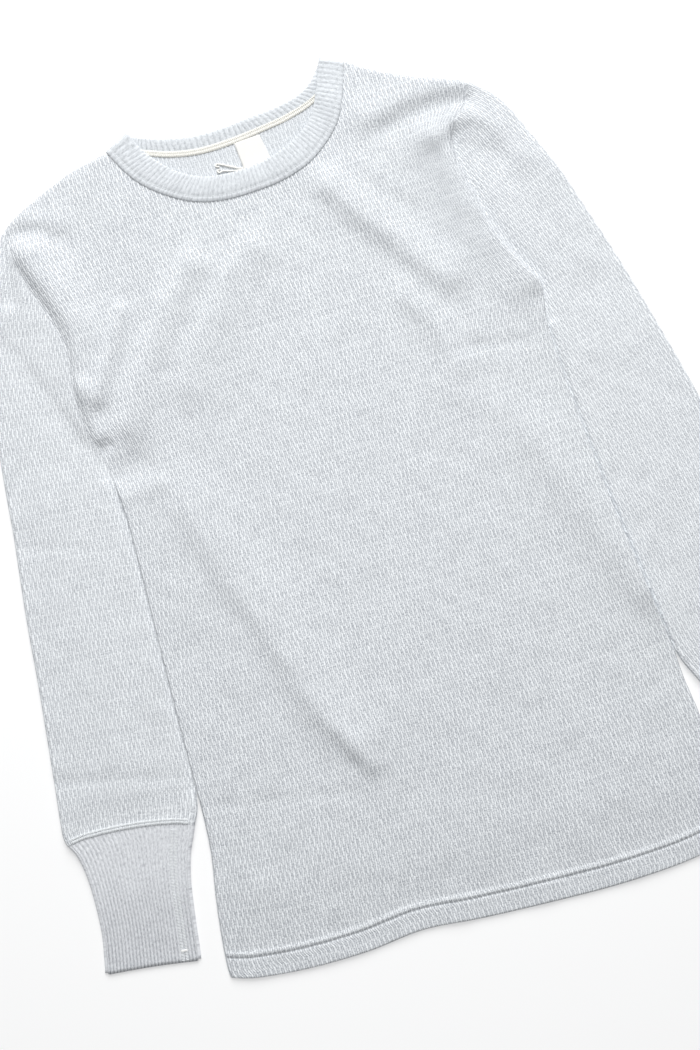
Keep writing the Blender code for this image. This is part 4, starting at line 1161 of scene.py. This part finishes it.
def plain_material(name, colour, roughness, weave_scale, weave_depth):
    """Woven or spun cotton: one colour, made a little darker in the weave's hollows as painted shade."""
    made, tree, shader = cloth_material(name, roughness, COTTON_SPECULAR, COTTON_SHEEN)
    uv = tree.nodes.new("ShaderNodeUVMap")
    uv.uv_map = "UVMap"
    weave = tree.nodes.new("ShaderNodeTexNoise")
    weave.inputs["Scale"].default_value = weave_scale
    weave.inputs["Detail"].default_value = WEAVE_DETAIL
    tree.links.new(uv.outputs["UV"], weave.inputs["Vector"])
    shade = tree.nodes.new("ShaderNodeMix")
    shade.data_type = "RGBA"
    shade.inputs["A"].default_value = (*[share * WEAVE_HOLLOW_PAINTED_SHADE for share in colour], 1)
    shade.inputs["B"].default_value = (*colour, 1)
    tree.links.new(weave.outputs["Fac"], shade.inputs["Factor"])
    tree.links.new(shade.outputs["Result"], shader.inputs["Base Color"])
    add_bump(tree, shader, weave.outputs["Fac"], weave_depth, WEAVE_HEIGHT)
    return made


tape_white = plain_material("cotton tape", (0.80, 0.79, 0.74),
                            roughness=0.85, weave_scale=2.0, weave_depth=0.8)


def face_outwards(piece):
    """Turns every face of a closed piece outwards."""
    shape = bmesh.new()
    shape.from_mesh(piece.data)
    bmesh.ops.recalc_face_normals(shape, faces=shape.faces)
    shape.to_mesh(piece.data)
    shape.free()
    return piece


def strip_piece(name, rows, top, thickness, finish, scale):
    """A closed strip of cloth from a grid of plan points and the height of its upper face."""
    upper = np.dstack((rows, top))
    points = np.concatenate((upper.reshape(-1, 3), (upper - (0, 0, thickness)).reshape(-1, 3)))
    index = np.arange(top.size).reshape(top.shape)
    return face_outwards(double_piece(name, points, index, rows * scale, finish))


tape_edges = along_length(BAND_BACK, np.linspace(*TAPE_ENDS, TAPE_STEPS))
tape_inward = unit(tape_edges[:, 2:] - tape_edges[:, :2])
tape_across = np.array((0, 0.06, 0.2, 0.35, 0.5, 0.65, 0.8, 0.94, 1))
tape_ways = TAPE_LOW + (TAPE_HIGH - TAPE_LOW) * tape_across
tape_rows = tape_edges[:, None, :2] + tape_inward[:, None] * tape_ways[None, :, None]
tape_turns = np.arange(TAPE_STEPS)[:, None] * TAPE_PITCH + np.abs(tape_across - 0.5)[None] * TAPE_CHEVRON
tape_top = TAPE_Z + TAPE_CROWN * np.sin(np.pi * tape_across)[None] ** 0.5 + TAPE_WEAVE * np.cos(tape_turns)
neck_tape = strip_piece("neck_tape_woven", tape_rows, tape_top, TAPE_CLOTH, tape_white, TAPE_GRAIN)
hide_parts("neck_tape")


# ---------------------------------------------------------------------------- thread tails
# The two ends of the cotton thread that the label was sewn in with. They were left long, and they curl and
# lie on the inside of the back.
TAIL_POINTS = (
    ((-3.4, 333.8, 2.9), (-8, 335.4, 3.2), (-15, 339.4, 2.8), (-21, 343, 2.7), (-25, 344.8, 2.6),
     (-26.4, 343, 2.6), (-23.5, 341.6, 2.9)),
    ((-3.4, 333.2, 2.9), (-9, 333.4, 3.1), (-16, 335.2, 2.8), (-21.5, 337, 2.7), (-25.2, 336.6, 2.6),
     (-26.4, 338.6, 2.6), (-23.6, 339.4, 3.0)))
TAIL_RADIUS = 0.75
TAIL_STEPS = 60
TAIL_SIDES = 8
TAIL_END = 0.55             # share of the thread's radius at its cut ends
THREAD_GRAIN = (1.7, 0.35)  # steps of the spun pattern from one thread to the next, and along a thread
tail_cotton = plain_material("cotton sewing thread", (0.97, 0.96, 0.92),
                             roughness=0.8, weave_scale=6.0, weave_depth=0.35)


def tube(points, radius):
    """Points and faces of a closed round thread along a line."""
    steps = unit(np.gradient(points, axis=0))
    level = unit(np.cross(steps, (0, 0, 1)))
    upright = np.cross(level, steps)
    turn = np.arange(TAIL_SIDES) * 2 * math.pi / TAIL_SIDES
    ends = np.minimum(np.arange(len(points)), np.arange(len(points))[::-1])
    size = radius * np.minimum(1, TAIL_END + (1 - TAIL_END) * ends)[:, None, None]
    ring = level[:, None] * np.cos(turn)[:, None] + upright[:, None] * np.sin(turn)[:, None]
    index = np.arange(len(points) * TAIL_SIDES).reshape(len(points), TAIL_SIDES)
    after = np.roll(index, -1, axis=1)
    sides = np.stack((index[:-1], index[1:], after[1:], after[:-1]), -1).reshape(-1, 4).tolist()
    faces = [index[0].tolist(), *sides, index[-1, ::-1].tolist()]
    return (points[:, None] + ring * size).reshape(-1, 3), faces


def threads_piece(name, lines, radius, finish):
    """One piece of many separate threads, each along its own line."""
    points, faces, places = [], [], []
    for number, line in enumerate(lines):
        spots, thread_faces = tube(line, radius)
        offset = number * len(spots)
        points.append(spots)
        faces += [[corner + offset for corner in face] for face in thread_faces]
        start, step = number * THREAD_GRAIN[0], THREAD_GRAIN[1]
        places += [(start + corner // TAIL_SIDES * step, corner % TAIL_SIDES / TAIL_SIDES)
                   for face in thread_faces for corner in face]
    return face_outwards(add_piece(name, np.concatenate(points), faces, finish, places))


tail_lines = [along(np.array(points, float), np.linspace(0, len(points) - 1, TAIL_STEPS))
              for points in TAIL_POINTS]
thread_tails = threads_piece("thread_tails", tail_lines, TAIL_RADIUS, tail_cotton)


# ---------------------------------------------------------------------------- label
# A small off-white woven label, left bare. Its upper end is sewn in under the tape, and the rest lies free
# on the inside of the back.
label_white = plain_material("woven label", (0.87, 0.865, 0.84),
                             roughness=0.7, weave_scale=3.0, weave_depth=0.5)
# its corners, from the one at the upper left clockwise
LABEL_CORNERS = np.array(((-4.8, 358.5), (19.4, 359.5), (22.8, 333.6), (-3.2, 331.8)), float)
LABEL_CLOTH = 0.3
LABEL_GRAIN = 1.2
LABEL_Z, LABEL_CURL = 2.55, 0.35        # height of its upper face, and how far its free end rises
LABEL_WAVE = (0.4, 3.0)     # the part of a wave, in radians, that the free end follows
LABEL_ROWS, LABEL_COLUMNS = 22, 18
label_down = np.linspace(0, 1, LABEL_ROWS)[:, None, None]
label_across = np.linspace(0, 1, LABEL_COLUMNS)[None, :, None]
label_head, label_foot = (start + (end - start) * label_across for start, end in
                          (LABEL_CORNERS[:2], LABEL_CORNERS[:1:-1]))
label_rows = label_head + (label_foot - label_head) * label_down
label_wave = np.sin(np.linspace(*LABEL_WAVE, LABEL_COLUMNS))
label_top = LABEL_Z + LABEL_CURL * label_wave[None] * label_down[..., 0]
label = strip_piece("label_woven", label_rows, label_top, LABEL_CLOTH, label_white, LABEL_GRAIN)
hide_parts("label")


# ---------------------------------------------------------------------------- sewing
# Pale cotton stitches that lie on the cloth: the cover stitch of the hem, the flat seams of the cuffs with
# their bar tacks, the top stitch of the neckband and the chain along the neck tape.
STITCH_SINK = 0.12
STITCH_PARTS = np.array((0, 0.2, 0.5, 0.8, 1))          # points along a stitch
STITCH_DROPS = np.array((1, 0.15, 0, 0.15, 1))          # and how far down each is
LOWEST_CLOTH = 0.6          # no stitch is made where the cloth under it is lower, past its edge
ROW_START, ROW_END = 0.7, 2.5           # room before the first stitch of a row and after its last
LOOK_AHEAD = 0.5            # the direction of a line is read over this length
ABOVE_ALL = 0.1             # metres
HEM_THREAD, CUFF_THREAD, TACK_THREAD, BAND_THREAD, TAPE_THREAD = 0.26, 0.34, 0.36, 0.2, 0.36
# Rows of stitches. Columns: pitch, distance of a stitch's first end from the line, distance of its last
# end, shift of that end along the line, lift over the cloth
HEM_STITCHES = ((2.1, HEM_ROLL - 1.5, HEM_ROLL + 0.7, 1.3, 0.2),)
CUFF_JOINT_STITCHES = ((1.05, 0.2, 2.6, 0.8, 0.25), (1.05, 5.0, 2.8, 0.8, 0.25))
CUFF_SEAM_STITCHES = ((1.25, -3.2, -0.3, 0.3, 0.1), (1.25, 3.2, 0.3, 0.3, 0.1))
BAND_STITCHES = ((2.7, 0, 0, 2.0, 0.15),)
TAPE_STITCHES = ((1.7, -2.5, -0.4, 0.6, 0.2), (1.7, 2.5, 0.4, 0.6, 0.2))
TACK_ROW = -4               # place of the bar tack, among the rows of the cuff's own seam
TACK_STEPS = (-0.5, 0, 0.5)
TACK_HALF, TACK_LIFT = 3.2, 0.45
BAND_LINE_STEPS = 300
stitch_cotton = plain_material("pale stitching", (0.86, 0.885, 0.90),
                               roughness=0.8, weave_scale=3.0, weave_depth=0.5)
tack_cotton = plain_material("white bar tack", (0.95, 0.95, 0.94),
                             roughness=0.8, weave_scale=3.0, weave_depth=0.5)


def cloth_under(*pieces):
    """The shapes of pieces, for measuring how high their cloth lies."""
    shapes = []
    for piece in pieces:
        shape = bmesh.new()
        shape.from_mesh(piece.data)
        shapes.append(BVHTree.FromBMesh(shape))
        shape.free()
    return shapes


def on_cloth(line, shapes, lift):
    """The line's points at the height of the cloth under them, lifted by a thread's own height."""
    heights = []
    for x, y in in_metres(np.column_stack((line, np.zeros(len(line)))))[:, :2]:
        hits = [shape.ray_cast((x, y, ABOVE_ALL), (0, 0, -1))[0] for shape in shapes]
        heights.append(max((hit.z for hit in hits if hit), default=0) / MM)
    return np.column_stack((line, np.array(heights) + lift))


def stitches(starts, ends, shapes, lift):
    """Short threads from each start to its end, a little sunk into the cloth at both."""
    lines = []
    for start, end in zip(starts, ends):
        line = on_cloth(start + (end - start) * STITCH_PARTS[:, None], shapes, lift)
        if line[:, 2].min() < lift + LOWEST_CLOTH:
            continue
        line[:, 2] = line[:, 2].max() - (STITCH_SINK + lift) * STITCH_DROPS
        lines.append(line)
    return lines


def set_off(line, pitch, distance, shift=0.0):
    """Points every pitch along a line, set off to its left by a distance."""
    length = length_along(line)
    at = np.arange(ROW_START, length[-1] - ROW_END, pitch) + shift
    points, ahead = (np.column_stack([np.interp(spot, length, line[:, k]) for k in (0, 1)])
                     for spot in (at, at + LOOK_AHEAD))
    step = unit(ahead - points)
    return points + np.column_stack((-step[:, 1], step[:, 0])) * distance


def stitch_rows(line, rows, shapes):
    """Every stitch of some rows along a line."""
    threads = []
    for pitch, first, last, shift, lift in rows:
        threads += stitches(set_off(line, pitch, first), set_off(line, pitch, last, shift), shapes, lift)
    return threads


hem_threads = stitch_rows(hem_line, HEM_STITCHES, cloth_under(front_knit))
hem_stitching = threads_piece("hem_cover_stitch", hem_threads, HEM_THREAD, stitch_cotton)

for side_name in ("left", "right"):
    joint, own_seam, down = cuff_lines["cuff_" + side_name + "_rib"]
    joint = joint if joint[0, 0] < joint[-1, 0] else joint[::-1]
    cuff_shapes = cloth_under(bpy.data.objects["sleeve_" + side_name + "_knit"],
                              bpy.data.objects["cuff_" + side_name + "_rib"])
    cuff_threads = stitch_rows(joint, CUFF_JOINT_STITCHES, cuff_shapes)
    cuff_threads += stitch_rows(own_seam, CUFF_SEAM_STITCHES, cuff_shapes)
    cuff_stitching = threads_piece("cuff_seams_" + side_name, cuff_threads, CUFF_THREAD, stitch_cotton)
    tack = own_seam[TACK_ROW] + np.outer(TACK_STEPS, down)
    tack_across = np.array((-down[1], down[0])) * TACK_HALF
    tack_threads = stitches(tack - tack_across, tack + tack_across, cuff_shapes, TACK_LIFT)
    bar_tack = threads_piece("bar_tack_" + side_name, tack_threads, TACK_THREAD, tack_cotton)

band_line = along_length(BAND_FRONT, np.linspace(0, 1, BAND_LINE_STEPS))
band_line = band_line[:, :2] + (band_line[:, 2:] - band_line[:, :2]) * TOP_STITCH
band_threads = stitch_rows(band_line, BAND_STITCHES, cloth_under(neckband))
band_stitching = threads_piece("neckband_top_stitch", band_threads, BAND_THREAD, stitch_cotton)

tape_line = tape_edges[:, :2] + tape_inward * (TAPE_LOW + TAPE_HIGH) / 2
tape_threads = stitch_rows(tape_line, TAPE_STITCHES, cloth_under(neck_tape))
tape_stitching = threads_piece("neck_tape_chain_stitch", tape_threads, TAPE_THREAD, tail_cotton)
